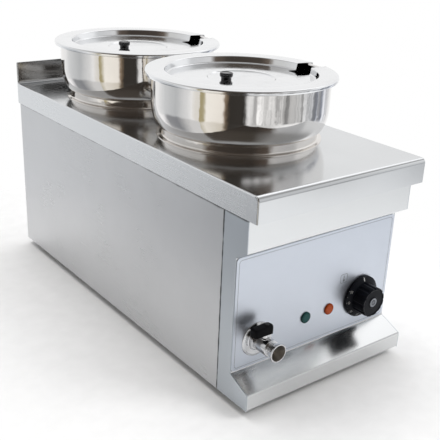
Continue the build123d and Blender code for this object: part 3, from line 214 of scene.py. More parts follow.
def steel(name, colour, rough, brush, grain, haze, depth, seam_and_shading=None, shade_line=None):
    """Stainless steel: brush lines along the axis whose share is small, hazy patches and long scratches.

    Deck option: a weld seam, painted light on the side faces and a painted dark reflection on the upstand.
    Joint option: painted shadow under the apron and a dark line along the cheek joint.
    """
    material, tree = new_material(name)
    lines = noise(tree, 1700, 2, 0.6, brush)
    streaks = noise(tree, 260, 2, 0.5, tuple(part * 0.5 if part < 0.2 else part for part in brush))
    patches = noise(tree, 9, 4, 0.6)
    scratches = noise(tree, 700, 1, 0.4, tuple(part * 0.6 if part < 0.2 else part for part in brush))
    scratch = remap(tree, scratches, 0.74, 0.80)
    fine, broad = spread(tree, lines, -grain, grain), spread(tree, streaks, -grain * 0.4, grain * 0.4)
    rough_line = math_node(tree, "MULTIPLY_ADD", plus(tree, fine, broad), rough * 0.5)
    rough_line.node.inputs[2].default_value = rough
    rough_haze = plus(tree, rough_line, spread(tree, patches, -haze, haze))
    rough_all = plus(tree, rough_haze, times(tree, scratch, 0.12), True)
    tone = remap(tree, plus(tree, patches, times(tree, streaks, grain)), 0.3, 1.1)
    base = blend_colours(tree, tone, scaled(colour, 0.94), scaled(colour, 1.04))
    height = plus(tree, lines, times(tree, scratch, -0.8))
    if seam_and_shading:
        mask, side_face = seam_and_shading(tree), side_facing(tree)
        rough_all = plus(tree, rough_all, times(tree, side_face, 0.13), True)
        # Painted light: the deck's side faces are lightened
        base = blend_colours(tree, times(tree, side_face, 0.6), base, (0.84, 0.85, 0.86))
        base = blend_colours(tree, mask, base, grey(0.05))
        # Painted dark reflection: the upstand above the deck top is darkened
        lifted = parts_of(tree, object_point(tree))["Z"]
        base = blend_colours(tree, remap(tree, lifted, *UPSTAND_FOOT, 0.0, 0.36), base, grey(0.13))
        height = math_node(tree, "SUBTRACT", height, times(tree, mask, 6.0))
    if shade_line:
        # Painted shadow under the apron and a dark line along the cheek joint, blended into the colour
        shade_line_mask = shade_line(tree)
        base = blend_colours(tree, shade_line_mask, base, (0.035, 0.037, 0.04))
        rough_all = plus(tree, rough_all, times(tree, shade_line_mask, 0.3), True)
    normal = bumped(tree, height, depth, 0.0002)
    shaded(tree, Base_Color=base, Metallic=1.0, Roughness=rough_all, Normal=normal)
    return material


def spun_steel(name, colour, rough, ripple=0.25):
    """Spun and polished steel: fine turning rings, a soft uneven ripple and wiped smudges."""
    material, tree = new_material(name)
    level = parts_of(tree, node(tree, "ShaderNodeTexCoord").outputs["Object"])["Z"]
    rings = noise_at(tree, node(tree, "ShaderNodeCombineXYZ", {"Z": level}).outputs[0], 1500, 2.0)
    wave = noise(tree, 26, 2, 0.5, (1, 1, 1.6))
    smudge = noise(tree, 16, 5, 0.65, (1, 1, 0.7))
    wiped = noise(tree, 60, 3, 0.6, (1, 1, 0.15))
    smudged = remap(tree, smudge, 0.35, 0.75, rough * 0.7, rough * 1.9)
    rough_all = plus(tree, smudged, remap(tree, wiped, 0.45, 0.8, 0.0, rough * 0.8), True)
    base = blend_colours(tree, remap(tree, smudge, 0.3, 0.75), scaled(colour, 1.03), scaled(colour, 0.95))
    normal = bumped(tree, wave, ripple, 0.0015, bumped(tree, rings, 0.05, 0.00012))
    shaded(tree, Base_Color=base, Metallic=1.0, Roughness=rough_all, Normal=normal)
    return material


def moulded(name, colour, rough, grain_scale=900, depth=0.25, sheen=0.5):
    """Moulded plastic or rubber with a fine texture and worn lighter patches."""
    material, tree = new_material(name)
    grain = noise(tree, grain_scale, 2, 0.6)
    patches = noise(tree, 35, 4, 0.6)
    worn = tuple(part * 1.25 + 0.004 for part in colour)
    base = blend_colours(tree, remap(tree, patches, 0.35, 0.75), colour, worn)
    patchy = spread(tree, patches, rough * 0.85, rough * 1.2)
    rough_all = plus(tree, patchy, spread(tree, grain, -0.03, 0.03))
    normal = bumped(tree, grain, depth, 0.0001)
    shaded(tree, Base_Color=base, Roughness=rough_all, Normal=normal, Specular_IOR_Level=sheen)
    return material


def plain_metal(name, colour, rough, scale=700, depth=0.12):
    """Turned, drawn or plated metal with tool marks and uneven tarnish."""
    material, tree = new_material(name)
    marks = noise(tree, scale, 2, 0.6)
    tarnish = noise(tree, 45, 5, 0.65)
    base = blend_colours(tree, remap(tree, tarnish, 0.35, 0.75), scaled(colour, 1.04), scaled(colour, 0.82))
    dull = spread(tree, tarnish, rough * 0.8, rough * 1.4)
    rough_all = plus(tree, dull, spread(tree, marks, -0.04, 0.04), True)
    normal = bumped(tree, marks, depth, 0.00012)
    shaded(tree, Base_Color=base, Metallic=1.0, Roughness=rough_all, Normal=normal)
    return material


def turned_disc(name, colour, rough):
    """Turned metal disc at the dial's middle: painted highlight on its rim, painted shade in a groove and
    fine turning rings.
    """
    material, tree = new_material(name)
    reach = reach_from(tree, KNOB_X, KNOB_Z)
    cloud = noise(tree, 500, 3)
    rings = math_node(tree, "SINE", times(tree, reach, 2 * pi / 0.0005))
    uneven = plus(tree, reach, spread(tree, cloud, -0.0003, 0.0003))
    # Tone by radius: a painted highlight on the rim and painted shade in a groove
    lit_rim_shaded_groove_shares = ((0.0, 0.6), (0.25, 0.7), (0.38, 0.3), (0.5, 0.35), (0.62, 0.8), (0.86, 1.0), (1.0, 0.4))
    stops = [(place, scaled(colour, share)) for place, share in lit_rim_shaded_groove_shares]
    tone = ramp(tree, remap(tree, uneven, 0.0, 0.007), stops)
    rough_all = spread(tree, cloud, rough * 0.8, rough * 1.2)
    normal = bumped(tree, rings, 0.3, 0.00006)
    shaded(tree, Base_Color=tone, Metallic=1.0, Roughness=rough_all, Normal=normal)
    return material


def lens_material(name, colour, centre_x):
    """Tinted lamp lens with fine pressed rings, deeper in colour towards its rim."""
    material, tree = new_material(name)
    reach = reach_from(tree, centre_x, LAMP_Z)
    rings = math_node(tree, "SINE", times(tree, reach, 2 * pi / 0.0012))
    cloud = noise(tree, 240, 3)
    rim = remap(tree, reach, 0.004, 0.0085)
    inner = blend_colours(tree, spread(tree, cloud, 0.0, 1.0), colour, scaled(colour, 1.25))
    base = blend_colours(tree, rim, inner, scaled(colour, 0.7))
    rough, normal = spread(tree, cloud, 0.16, 0.26), bumped(tree, rings, 0.25, 0.0001)
    gloss = {"Specular_IOR_Level": 0.12, "Coat_Weight": 0.12, "Coat_Roughness": 0.08}
    shaded(tree, Base_Color=base, Roughness=rough, Normal=normal, **gloss)
    return material


def printed(name, colour):
    """Printed ink with a slightly uneven film."""
    material, tree = new_material(name)
    film = noise(tree, 800, 3)
    base = blend_colours(tree, remap(tree, film, 0.35, 0.7), colour, scaled(colour, 0.88))
    shaded(tree, Base_Color=base, Roughness=spread(tree, film, 0.45, 0.55))
    return material


def deck_seam(tree):
    """Mask of the welded joint between the front roll and each side apron, seen on the side faces."""
    place = parts_of(tree, node(tree, "ShaderNodeTexCoord").outputs["Object"])
    before = math_node(tree, "SUBTRACT", (FRONT_Y + ROLL) * MM, place["Y"])
    above = math_node(tree, "SUBTRACT", place["Z"], (DECK_Z - ROLL) * MM)
    reach = length_of(tree, math_node(tree, "MAXIMUM", before, 0.0), math_node(tree, "MAXIMUM", above, 0.0))
    inset = math_node(tree, "SUBTRACT", ROLL * MM, reach)
    line = math_node(tree, "COMPARE", inset, 0.0017)
    line.node.inputs[2].default_value = 0.00032
    near = math_node(tree, "GREATER_THAN", before, -0.0005)
    return times(tree, times(tree, line, side_facing(tree)), near)


def apron_shadow_and_cheek_joint(tree):
    """Mask of the painted shadow under the deck's apron, thicker towards the front, and of the dark joint
    line between side panel and cheek.
    """
    place = parts_of(tree, object_point(tree))
    uneven = spread(tree, noise(tree, 60, 3), -0.0006, 0.0006)
    forward = remap(tree, place["Y"], 0.05, -0.27, 0.0, 0.0016)
    height = plus(tree, plus(tree, place["Z"], forward), uneven)
    under = remap(tree, height, *APRON_SHADOW_BAND, 0.0, 0.9)
    off = math_node(tree, "ABSOLUTE", plus(tree, place["Y"], -CHEEK_JOINT_Y))
    beside = remap(tree, plus(tree, off, uneven), 0.0017, 0.0005, 0.0, 0.85)
    return math_node(tree, "MAXIMUM", under, beside)


ALONG_X, ALONG_Y, ALONG_Z = (0.02, 1, 1), (1, 0.02, 1), (1, 1, 0.02)

materials = {
    # The satin steel copies differ in colour by panel: the side and cheek copies are darker than the front
    # copy, and the cheek's bluer, as painted shade and reflection
    "deck": steel("deck_steel", (0.68, 0.69, 0.70), 0.14, ALONG_Y, 0.08, 0.012, 0.006, seam_and_shading=deck_seam),
    "side": steel("side_steel", (0.63, 0.635, 0.645), 0.28, ALONG_Y, 0.03, 0.008, 0.002, shade_line=apron_shadow_and_cheek_joint),
    "cheek": steel("cheek_steel", (0.53, 0.565, 0.60), 0.30, ALONG_Z, 0.06, 0.01, 0.006, shade_line=apron_shadow_and_cheek_joint),
    "front": steel("front_steel", (0.73, 0.74, 0.745), 0.20, ALONG_X, 0.06, 0.015, 0.006),
    "rear": steel("rear_steel", (0.64, 0.64, 0.635), 0.32, ALONG_X, 0.15, 0.02, 0.015),
    "plate": steel("plate_steel", (0.67, 0.71, 0.78), 0.38, ALONG_X, 0.12, 0.02, 0.012),
    "tank": steel("tank_steel", (0.60, 0.60, 0.59), 0.34, ALONG_Y, 0.35, 0.10, 0.06),
    "spun": spun_steel("spun_steel", (0.76, 0.745, 0.73), 0.05),
    "ring": spun_steel("ring_steel", (0.72, 0.69, 0.66), 0.07, 0.55),
    "lid": spun_steel("lid_steel", (0.78, 0.785, 0.795), 0.09, 0.12),
    "chrome": plain_metal("chrome", (0.66, 0.665, 0.68), 0.13, 500, 0.05),
    "black": moulded("black_plastic", (0.003, 0.003, 0.004), 0.42, sheen=0.06),
    "knob": moulded("knob_plastic", (0.004, 0.004, 0.005), 0.06, 900, 0.02),
    "grip": moulded("grip_plastic", (0.003, 0.004, 0.007), 0.34, 1400, 0.25, 0.10),
    "cap": turned_disc("knob_cap", (0.27, 0.285, 0.31), 0.30),
    "green": lens_material("green_lens", (0.006, 0.062, 0.060), LAMP_X["green"]),
    "orange": lens_material("orange_lens", (0.40, 0.060, 0.004), LAMP_X["orange"]),
    "moulding": moulded("black_moulding", (0.03, 0.03, 0.032), 0.55),
    "case": plain_metal("thermostat_case", (0.45, 0.46, 0.45), 0.42),
    "brass": plain_metal("brass", (0.72, 0.53, 0.24), 0.26),
    "copper": plain_metal("copper", (0.74, 0.38, 0.22), 0.28),
    "sheath": plain_metal("element_sheath", (0.34, 0.33, 0.32), 0.42, 400, 0.2),
    "white": moulded("white_moulding", (0.72, 0.72, 0.68), 0.5),
    "rubber": moulded("rubber", (0.018, 0.018, 0.018), 0.75, 600, 0.5),
    "screw": plain_metal("screw_steel", (0.58, 0.58, 0.575), 0.24),
    # Darker metal for the inside of the spout, standing for painted shade in the bore
    "bore": plain_metal("bore_painted_shade", (0.40, 0.375, 0.345), 0.42),
    "ink": printed("grey_ink", (0.22, 0.23, 0.25)),
    "dial_white": printed("dial_white", (0.78, 0.78, 0.76)),
}

SLOT_MATERIALS = {
    "satin_steel": "front",
    "polished_steel": "spun",
    "plate_steel": "plate",
    "tank_steel": "tank",
    "element_sheath": "sheath",
    "chrome": "chrome",
    "black_plastic": "black",
    "knob_cap": "cap",
    "green_lens": "green",
    "orange_lens": "orange",
    "black_moulding": "moulding",
    "thermostat_case": "case",
    "brass": "brass",
    "copper": "copper",
    "white_moulding": "white",
    "rubber": "rubber",
    "fasteners": "screw",
}
NODE_MATERIALS = {
    "deck": "deck",
    "left_side_panel": "side",
    "right_side_panel": "side",
    "left_cheek": "cheek",
    "right_cheek": "cheek",
    "rear_panel": "rear",
    "valve_lever_screw": "moulding",
}


# ---------------------------------------------------------------- mesh helpers

# The two directions that span the plane across each axis
AXES = {
    "+Z": (Vector((1, 0, 0)), Vector((0, 1, 0))),
    "-Z": (Vector((0, 1, 0)), Vector((1, 0, 0))),
    "-Y": (Vector((1, 0, 0)), Vector((0, 0, 1))),
    "+Y": (Vector((0, 0, 1)), Vector((1, 0, 0))),
}


def rounded(points, radii, steps):
    """Polyline whose inner corners become arcs, each of its own radius."""
    points = [Vector(point) for point in points]
    result = [points[0]]
    for before, corner, after, size in zip(points, points[1:], points[2:], radii):
        first, second = (before - corner).normalized(), (after - corner).normalized()
        half = first.angle(second) / 2
        centre = corner + (first + second).normalized() * (size / sin(half))
        start = corner + first * (size / tan(half)) - centre
        end = corner + second * (size / tan(half)) - centre
        angle = atan2(start.y, start.x)
        sweep = (atan2(end.y, end.x) - angle + pi) % (2 * pi) - pi
        for step in range(steps + 1):
            turn = angle + sweep * step / steps
            result.append(centre + Vector((cos(turn), sin(turn))) * size)
    result.append(points[-1])
    return result


def arc(centre, size, start, end, steps):
    """Points of an arc or, with two sizes, of part of an ellipse; angles in degrees."""
    wide, high = size if isinstance(size, tuple) else (size, size)
    turns = [radians(start + (end - start) * step / steps) for step in range(steps + 1)]
    return [Vector((centre[0] + wide * cos(turn), centre[1] + high * sin(turn))) for turn in turns]


def finish_mesh(name, shape, crease, outward):
    """Mesh in metres from a bmesh in millimetres, smooth but for corners sharper than the crease."""
    bmesh.ops.remove_doubles(shape, verts=shape.verts, dist=0.0005)
    if outward:
        bmesh.ops.recalc_face_normals(shape, faces=shape.faces)
    bmesh.ops.scale(shape, vec=(MM, MM, MM), verts=shape.verts)
    mesh = bpy.data.meshes.new(name)
    shape.to_mesh(mesh)
    shape.free()
    mesh.shade_smooth()
    mesh.set_sharp_from_angle(angle=radians(crease))
    return mesh


def turn_profile(shape, profile, origin, axis, segments, radius_at=None):
    """Adds a turned surface: profile points are (radius, height along the axis)."""
    side, up = AXES[axis]
    along = side.cross(up)
    origin = Vector(origin)
    rows = []
    for radius, height in profile:
        if radius < 1e-6:
            rows.append([shape.verts.new(origin + along * height)] * segments)
            continue
        row = []
        for index in range(segments):
            turn = 2 * pi * index / segments
            reach = radius_at(radius, height, turn) if radius_at else radius
            row.append(shape.verts.new(origin + (side * cos(turn) + up * sin(turn)) * reach + along * height))
        rows.append(row)
    for lower, upper in zip(rows, rows[1:]):
        for index in range(segments):
            after = (index + 1) % segments
            corners = [lower[index], lower[after], upper[after], upper[index]]
            corners = [v for place, v in enumerate(corners) if v not in corners[:place]]
            if len(corners) > 2:
                shape.faces.new(corners)


def bridge(shape, rows):
    """Adds the faces between closed rows of points."""
    for lower, upper in zip(rows, rows[1:]):
        for index in range(len(lower)):
            after = (index + 1) % len(lower)
            shape.faces.new([lower[index], lower[after], upper[after], upper[index]])


def prism(shape, outline, origin, axis, depth, edge):
    """Adds a closed prism on this outline with softened end edges."""
    side, up = AXES[axis]
    along = side.cross(up)
    origin = Vector(origin)
    levels = [(0, edge), (edge, 0), (depth - edge, 0), (depth, edge)]
    middle = sum((Vector(point) for point in outline), Vector((0, 0))) / len(outline)
    rows = []
    for height, inset in levels:
        row = []
        for point in outline:
            spoke = Vector(point) - middle
            flat = middle + spoke * (1 - inset / spoke.length)
            row.append(shape.verts.new(origin + side * flat.x + up * flat.y + along * height))
        rows.append(row)
    bridge(shape, rows)
    shape.faces.new(rows[0])
    shape.faces.new(rows[-1])


def hexagon(across, turn=0.0):
    """Outline of a hexagon with slightly rounded corners."""
    points = []
    reach = across / 2 / cos(pi / 6)
    for index in range(6):
        for offset, share in ((-4, 0.985), (0, 0.995), (4, 0.985)):
            angle = radians(turn + index * 60 + offset)
            points.append((cos(angle) * reach * share, sin(angle) * reach * share))
    return points


def piece(name, shape, body, material, replaces=(), crease=32, outward=True):
    """New piece from a bmesh that rides on a body and may stand for CAD nodes."""
    mesh = finish_mesh(name, shape, crease, outward)
    made = bpy.data.objects.new(name, mesh)
    scene.collection.objects.link(made)
    mesh.materials.append(materials[material])
    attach(made, body)
    if replaces:
        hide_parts(*replaces)
    return made


def turned_piece(name, profile, place, body, material, replaces):
    """New piece with one turned surface; place is its origin, axis and segment count."""
    shape = bmesh.new()
    turn_profile(shape, profile, *place)
    return piece(name, shape, body, material, replaces)


def modify(made, kind, **settings):
    """Modifier on a piece."""
    added = made.modifiers.new(kind.lower(), kind)
    for key, value in settings.items():
        setattr(added, key, value)


# ------------------------------------------------------------------------ pots

POT_FLOOR, POT_SEAT, BELLY_TOP = 200.3, 325.3, 362.3
POT_LOWER, BELLY_START, POT_WALL = 108.0, 115.2, 130.0
RIM_MIDDLE, RIM_ROLL = (131.0, 401.1), 3.2
POT_SHEET = 1.2
RING_FLANGE, RING_OUTSIDE, RING_BORE, RING_TOP = 122.0, 115.2, 114.0, 325.0


def pot_profile():
    """Outside from the middle of the floor up to the rolled rim, and back down the inside."""
    foot = [(0, POT_FLOOR), (POT_LOWER, POT_FLOOR), (POT_LOWER, POT_SEAT), (BELLY_START, POT_SEAT)]
    outside = rounded(foot, [10, 0.6], 8)
    belly = arc((BELLY_START, BELLY_TOP), (POT_WALL - BELLY_START, BELLY_TOP - POT_SEAT), -90, 0, 28)
    wall = [Vector((POT_WALL, z)) for z in (370, 380, 390, 397.6)]
    bead = arc(RIM_MIDDLE, RIM_ROLL, -88, 158, 22)
    inner_wall, lower = POT_WALL - POT_SHEET, POT_LOWER - POT_SHEET
    seat, floor = POT_SEAT + POT_SHEET, POT_FLOOR + POT_SHEET
    inside = [Vector((inner_wall, z)) for z in (400.0, 390, 380, 370)]
    inner_belly = arc((BELLY_START, BELLY_TOP), (inner_wall - BELLY_START, BELLY_TOP - seat), 0, -90, 28)
    rest = rounded([(BELLY_START, seat), (lower, seat), (lower, floor), (0, floor)], [0.6, 8.8], 8)
    return outside + belly[1:] + wall + bead + inside + inner_belly + rest[1:]


def ring_profile():
    """Spun collar: flange on the deck, flare, and its plain top edge."""
    flange_top = DECK_Z + 1.2
    corners = [(RING_FLANGE, DECK_Z), (RING_FLANGE, flange_top), (RING_OUTSIDE, flange_top)]
    corners += [(RING_OUTSIDE, RING_TOP), (RING_BORE, RING_TOP), (RING_BORE, DECK_Z), (RING_FLANGE, DECK_Z)]
    return rounded(corners, [0.5, 3, 0.5, 0.4, 4.2], 10)


for end, centre_y in POTS.items():
    pot, ring, place = f"{end}_pot", f"{end}_pot_ring", ((0, centre_y, 0), "+Z", 256)
    turned_piece(f"{end}_pot_spun", pot_profile(), place, pot, "spun", [pot])
    turned_piece(f"{end}_ring_spun", ring_profile(), place, "cabinet", "ring", [ring])


# ------------------------------------------------------------------------ lids

LID_TOP, LID_FLOOR, LID_DISH = 405.6, 395.1, 393.6
NOTCH_START, NOTCH_HALF, NOTCH_CORNER = 93.0, 18.0, 5.0
LID_COLUMNS, NOTCH_COLUMNS = 240, 12
LID_KNOB_OFFSET = 25.0


def notch_angle(radius):
    """Half angle that the ladle notch takes out of the lid at this radius."""
    straight = NOTCH_START + NOTCH_CORNER
    if radius <= NOTCH_START + 1e-6:
        half = NOTCH_HALF - NOTCH_CORNER
    elif radius < straight:
        half = NOTCH_HALF - NOTCH_CORNER + sqrt(NOTCH_CORNER**2 - (straight - radius) ** 2)
    else:
        half = NOTCH_HALF
    return asin(half / radius) if radius > half else 0.0


def lid_profile():
    """Top side of the lid from the skirt's edge to the middle."""
    corners = [(139.5, 400.1), (139.5, LID_TOP), (111, LID_TOP), (108.9, LID_FLOOR), (98, LID_FLOOR)]
    rim = rounded(corners, [2.5, 2.5, 2.5], 8)
    reaches = [NOTCH_START + NOTCH_CORNER * (1 - cos(radians(angle))) for angle in (75, 60, 45, 30, 15, 5)]
    notch = [Vector((reach, LID_FLOOR)) for reach in reaches]
    floor = [Vector((radius, LID_FLOOR)) for radius in (NOTCH_START, 85, 75, 65)]
    step = [(60, LID_FLOOR), (50, LID_FLOOR), (48.5, LID_DISH), (40, LID_DISH)]
    dish = rounded(step, [0.9, 1.0], 6)
    middle = [Vector((radius, LID_DISH)) for radius in (30, 20, 10)]
    return rim + notch + floor + dish + middle


def lid_shape(centre_y):
    """Pressed lid as a sheet with the notch left out of its grid."""
    shape = bmesh.new()
    rows, sectors = [], []
    for radius, height in lid_profile():
        half = notch_angle(max(radius, NOTCH_START))
        angles = [half + (2 * pi - 2 * half) * k / LID_COLUMNS for k in range(LID_COLUMNS + 1)]
        row = []
        for angle in angles:
            turn = angle + NOTCH_TURN
            row.append(shape.verts.new((radius * cos(turn), centre_y + radius * sin(turn), height)))
        rows.append(row)
        if radius <= NOTCH_START + 1e-6:
            inner = [row[-1]]
            for k in range(1, NOTCH_COLUMNS):
                turn = NOTCH_TURN - half + 2 * half * k / NOTCH_COLUMNS
                inner.append(shape.verts.new((radius * cos(turn), centre_y + radius * sin(turn), height)))
            sectors.append(inner + [row[0]])
    for grid in (rows, sectors):
        for outer, inner in zip(grid, grid[1:]):
            for a, b, c, d in zip(outer, outer[1:], inner[1:], inner):
                shape.faces.new([a, b, c, d])
    middle = shape.verts.new((0, centre_y, LID_DISH))
    for a, b in list(zip(rows[-1], rows[-1][1:])) + list(zip(sectors[-1], sectors[-1][1:])):
        shape.faces.new([a, b, middle])
    return shape


def knob_profile():
    """Lid knob: waist, rounded shoulder and a shallow dished top."""
    corners = [(0, 0), (7.5, 0), (7.5, 2.5), (9.5, 5), (9.5, 10), (7.5, 10), (6.8, 9.4), (0, 9.4)]
    return rounded(corners, [0.2, 1.2, 1.0, 1.6, 0.4, 0.4], 6)


for end, centre_y in POTS.items():
    body = f"{end}_lid"
    lid = piece(f"{end}_lid_pressed", lid_shape(centre_y), body, "lid", [body], 50, False)
    modify(lid, "SOLIDIFY", thickness=1.0 * MM, offset=-1.0)
    modify(lid, "BEVEL", width=0.25 * MM, segments=2, limit_method="ANGLE", angle_limit=radians(60))
    knob_x = -LID_KNOB_OFFSET * cos(NOTCH_TURN)
    knob_y = centre_y - LID_KNOB_OFFSET * sin(NOTCH_TURN)
    place = ((knob_x, knob_y, LID_DISH), "+Z", 64)
    turned_piece(f"{end}_lid_grip", knob_profile(), place, body, "knob", [f"{end}_lid_knob"])


# ------------------------------------------------------------- thermostat knob

FLUTES, FLUTE_SIZE, FLUTE_REACH = 12, 4.0, 25.3
SKIRT_LOW, SKIRT_HIGH = (32.0, 4.2), (24.5, 7.7)
GRIP_RADIUS, GRIP_FACE = 22.5, 28.0


def fluted(radius, height, turn):
    """Radius of the grip at this angle, with a scallop every twelfth of a turn."""
    if height < SKIRT_HIGH[1] or radius < 19.5:
        return radius
    spacing = 2 * pi / FLUTES
    off = (turn + spacing / 2) % spacing - spacing / 2
    across = FLUTE_REACH * sin(off)
    if abs(across) >= FLUTE_SIZE:
        return radius
    scallop = FLUTE_REACH * cos(off) - sqrt(FLUTE_SIZE**2 - across**2)
    return min(radius, scallop - (GRIP_RADIUS - radius) * 0.8)


knob_origin = (KNOB_X, PLATE_Y, KNOB_Z)
skirt = [(28, 1.2), (32, 1.2), SKIRT_LOW, SKIRT_HIGH, (GRIP_RADIUS, SKIRT_HIGH[1])]
skirt += [(GRIP_RADIUS, GRIP_FACE), (20.5, GRIP_FACE), (19.4, 27.6)]
skirt = rounded(skirt, [0.5, 0.9, 0.6, 0.5, 1.8, 0.3], 6)
cap_seat = [(18.6, 27.1), (9.2, 27.1), (8.4, GRIP_FACE), (7.1, GRIP_FACE), (7.1, 26.8), (0, 26.8)]
cap_seat = rounded(cap_seat, [0.3, 0.2, 0.2, 0.1], 4)
hollow = [Vector(point) for point in ((3.06, 1.2), (6, 1.2), (6, 4.2), (28, 4.2), (28, 1.2))]
shape = bmesh.new()
turn_profile(shape, skirt + cap_seat, knob_origin, "-Y", 240, fluted)
turn_profile(shape, hollow, knob_origin, "-Y", 240)
piece("dial_knob", shape, "thermostat_knob", "grip", ["thermostat_knob"])

CAP_FACE = 27.55
cap_rings = [Vector((0, CAP_FACE))]
for index in range(1, 13):
    rise = (0.18 if index > 3 else 0.0) + (0.06 if index % 2 else -0.04)
    cap_rings.append(Vector((index * 0.5, CAP_FACE + rise)))
cap_rings += [Vector((6.6, 27.9)), Vector((6.95, 27.75)), Vector((6.95, 26.82)), Vector((0, 26.82))]
place = (knob_origin, "-Y", 64)
turned_piece("dial_cap", cap_rings, place, "thermostat_knob", "cap", ["thermostat_knob_cap"])


def text_mesh(text, size):
    """Flat mesh of a text in its own plane, in millimetres and centred."""
    curve = bpy.data.curves.new("lettering", "FONT")
    curve.body = text
    curve.size = size
    curve.align_x = "CENTER"
    curve.align_y = "CENTER"
    curve.resolution_u = 3
    holder = bpy.data.objects.new("lettering", curve)
    scene.collection.objects.link(holder)
    bpy.context.view_layer.update()
    mesh = bpy.data.meshes.new_from_object(holder.evaluated_get(bpy.context.evaluated_depsgraph_get()))
    points = [vertex.co.xy.copy() for vertex in mesh.vertices]
    faces = [list(polygon.vertices) for polygon in mesh.polygons]
    bpy.data.objects.remove(holder)
    bpy.data.meshes.remove(mesh)
    bpy.data.curves.remove(curve)
    return points, faces


def onto_skirt(shape, points, faces, turn, middle):
    """Lays flat points on the dial's skirt, this far round clockwise from its top."""
    slope = (SKIRT_HIGH[1] - SKIRT_LOW[1]) / (SKIRT_HIGH[0] - SKIRT_LOW[0])
    rows = []
    for lift in (-0.15, 0.06):
        row = []
        for point in points:
            radius = middle + point.y
            angle = turn + point.x / middle
            height = SKIRT_LOW[1] + (radius - SKIRT_LOW[0]) * slope + lift
            across, up = radius * sin(angle), radius * cos(angle)
            row.append(shape.verts.new((KNOB_X + across, PLATE_Y - height, KNOB_Z + up)))
        rows.append(row)
    for face in faces:
        shape.faces.new([rows[1][index] for index in face])
        shape.faces.new([rows[0][index] for index in reversed(face)])
    # One wall for each edge, also between neighbouring faces
    walls = {}
    for face in faces:
        for a, b in zip(face, face[1:] + face[:1]):
            walls.pop((b, a), None)
            walls[(a, b)] = None
    for a, b in walls:
        shape.faces.new([rows[0][a], rows[0][b], rows[1][b], rows[1][a]])


def bar(width, height):
    """Flat bar as points and one face."""
    points = [Vector((x * width / 2, y * height / 2)) for x, y in ((-1, -1), (1, -1), (1, 1), (-1, 1))]
    return points, [[0, 1, 2, 3]]


FIRST_SETTING, SETTING_STEP = 60.0, 35.0
shape = bmesh.new()
onto_skirt(shape, *bar(1.5, 5.0), 0.0, 28.2)
settings = ["30", "40", "50", "60", "70", "80", "90"]
for index, number in enumerate(settings):
    turn = -radians(FIRST_SETTING + SETTING_STEP * index)
    onto_skirt(shape, *text_mesh(number, 4.6), turn, 27.6)
    onto_skirt(shape, *bar(0.5, 1.1), turn, 30.9)
for index in range(len(settings) - 1):
    onto_skirt(shape, *bar(0.35, 0.8), -radians(FIRST_SETTING + SETTING_STEP * (index + 0.5)), 31.0)
piece("dial_numbers", shape, "thermostat_knob", "dial_white", outward=False)


# ----------------------------------------------------------------- drain valve

valve_origin = (VALVE_X, PLATE_Y, VALVE_Z)
body_out = [(8.5, -19.9), (8.5, 2.0), (12, 2.0), (12, 31), (9.2, 31), (9.4, 33.5), (13.0, 43.6), (13.0, 45.0)]
body_out = rounded(body_out + [(11.4, 45.0)], [0.2, 0.2, 1.6, 0.8, 2.5, 0.9, 0.4], 6)
body_in = rounded([(11.3, 44.6), (7.4, 32.6), (5.5, 31), (5.5, 27.8)], [1.0, 0.4], 5)
body_back = [Vector((5.5, 10.2)), Vector((5.5, -19.9)), Vector((8.5, -19.9))]
shape = bmesh.new()
turn_profile(shape, body_out + body_in + body_back, valve_origin, "-Y", 96)
prism(shape, hexagon(26.0, 30), (VALVE_X, PLATE_Y - 2.0, VALVE_Z), "-Y", 5.0, 0.7)
stem_y = PLATE_Y - 19
boss = rounded([(3.06, 9.6), (6.0, 9.6), (6.0, 14.0), (3.06, 14.0), (3.06, 9.6)], [0.1, 0.5, 0.1], 4)
turn_profile(shape, boss, (VALVE_X, stem_y, VALVE_Z), "+Z", 48)
collar = rounded([(7.6, 10.6), (7.6, 11.4), (6.0, 12.6)], [0.4], 4)
turn_profile(shape, collar, (VALVE_X, stem_y, VALVE_Z - 0.2), "+Z", 48)
tap = piece("drain_tap", shape, "cabinet", "chrome", ["drain_valve"])
# Painted shade: the spout's inner faces take the darker bore metal
tap.data.materials.append(materials["bore"])
axis_line = Vector((VALVE_X, 0, VALVE_Z)) * MM
for polygon in tap.data.polygons:
    off = polygon.center - axis_line
    off.y = 0
    if polygon.normal.dot(off) < 0 and off.length < 0.0115 and polygon.center.y < (PLATE_Y - 30) * MM:
        polygon.material_index = 1

rose = [(8.7, 0.05), (25, 0.05), (25, 0.9), (21.5, 1.95), (16, 1.45), (14.6, 2.0), (8.7, 2.0), (8.7, 0.05)]
rose, place = rounded(rose, [0.1, 0.5, 0.9, 1.5, 0.5, 0.1], 6), (valve_origin, "-Y", 96)
turned_piece("drain_rose", rose, place, "cabinet", "chrome", ["valve_wall_plate"])


def lever_outline():
    """Plan of the lever: round hub at the stem and a soft-cornered arm to the left."""
    arm = rounded([(0, 7.0), (-24, 6.6), (-24, -6.6), (0, -7.0)], [3.4, 3.4], 7)
    hub = arc((0, 0), 8.5, -56, 56, 18)
    return arm[1:-1] + hub


lever_origin = Vector((VALVE_X, stem_y, VALVE_Z + 18.5))
shape = bmesh.new()
shoulder = [radians(angle) for angle in range(0, 91, 15)]
levels = [(0, 0.5), (0.5, 0)] + [(9.0 + 3.0 * sin(angle), 3.0 * (1 - cos(angle))) for angle in shoulder]
outline = lever_outline()
rows = []
for height, inset in levels:
    row = []
    for point in outline:
        spoke = Vector((point.x - max(-16.0, min(0.0, point.x)), point.y))
        reach = max(spoke.length, 1e-6)
        flat = Vector((point.x, point.y)) - spoke * (inset / reach)
        row.append(shape.verts.new(lever_origin + Vector((flat.x, flat.y, height))))
    rows.append(row)
bridge(shape, rows)
shape.faces.new(rows[0])
shape.faces.new(rows[-1])
piece("drain_handle", shape, "drain_lever", "black", ["valve_lever"])


# ----------------------------------------------------------------------- lamps

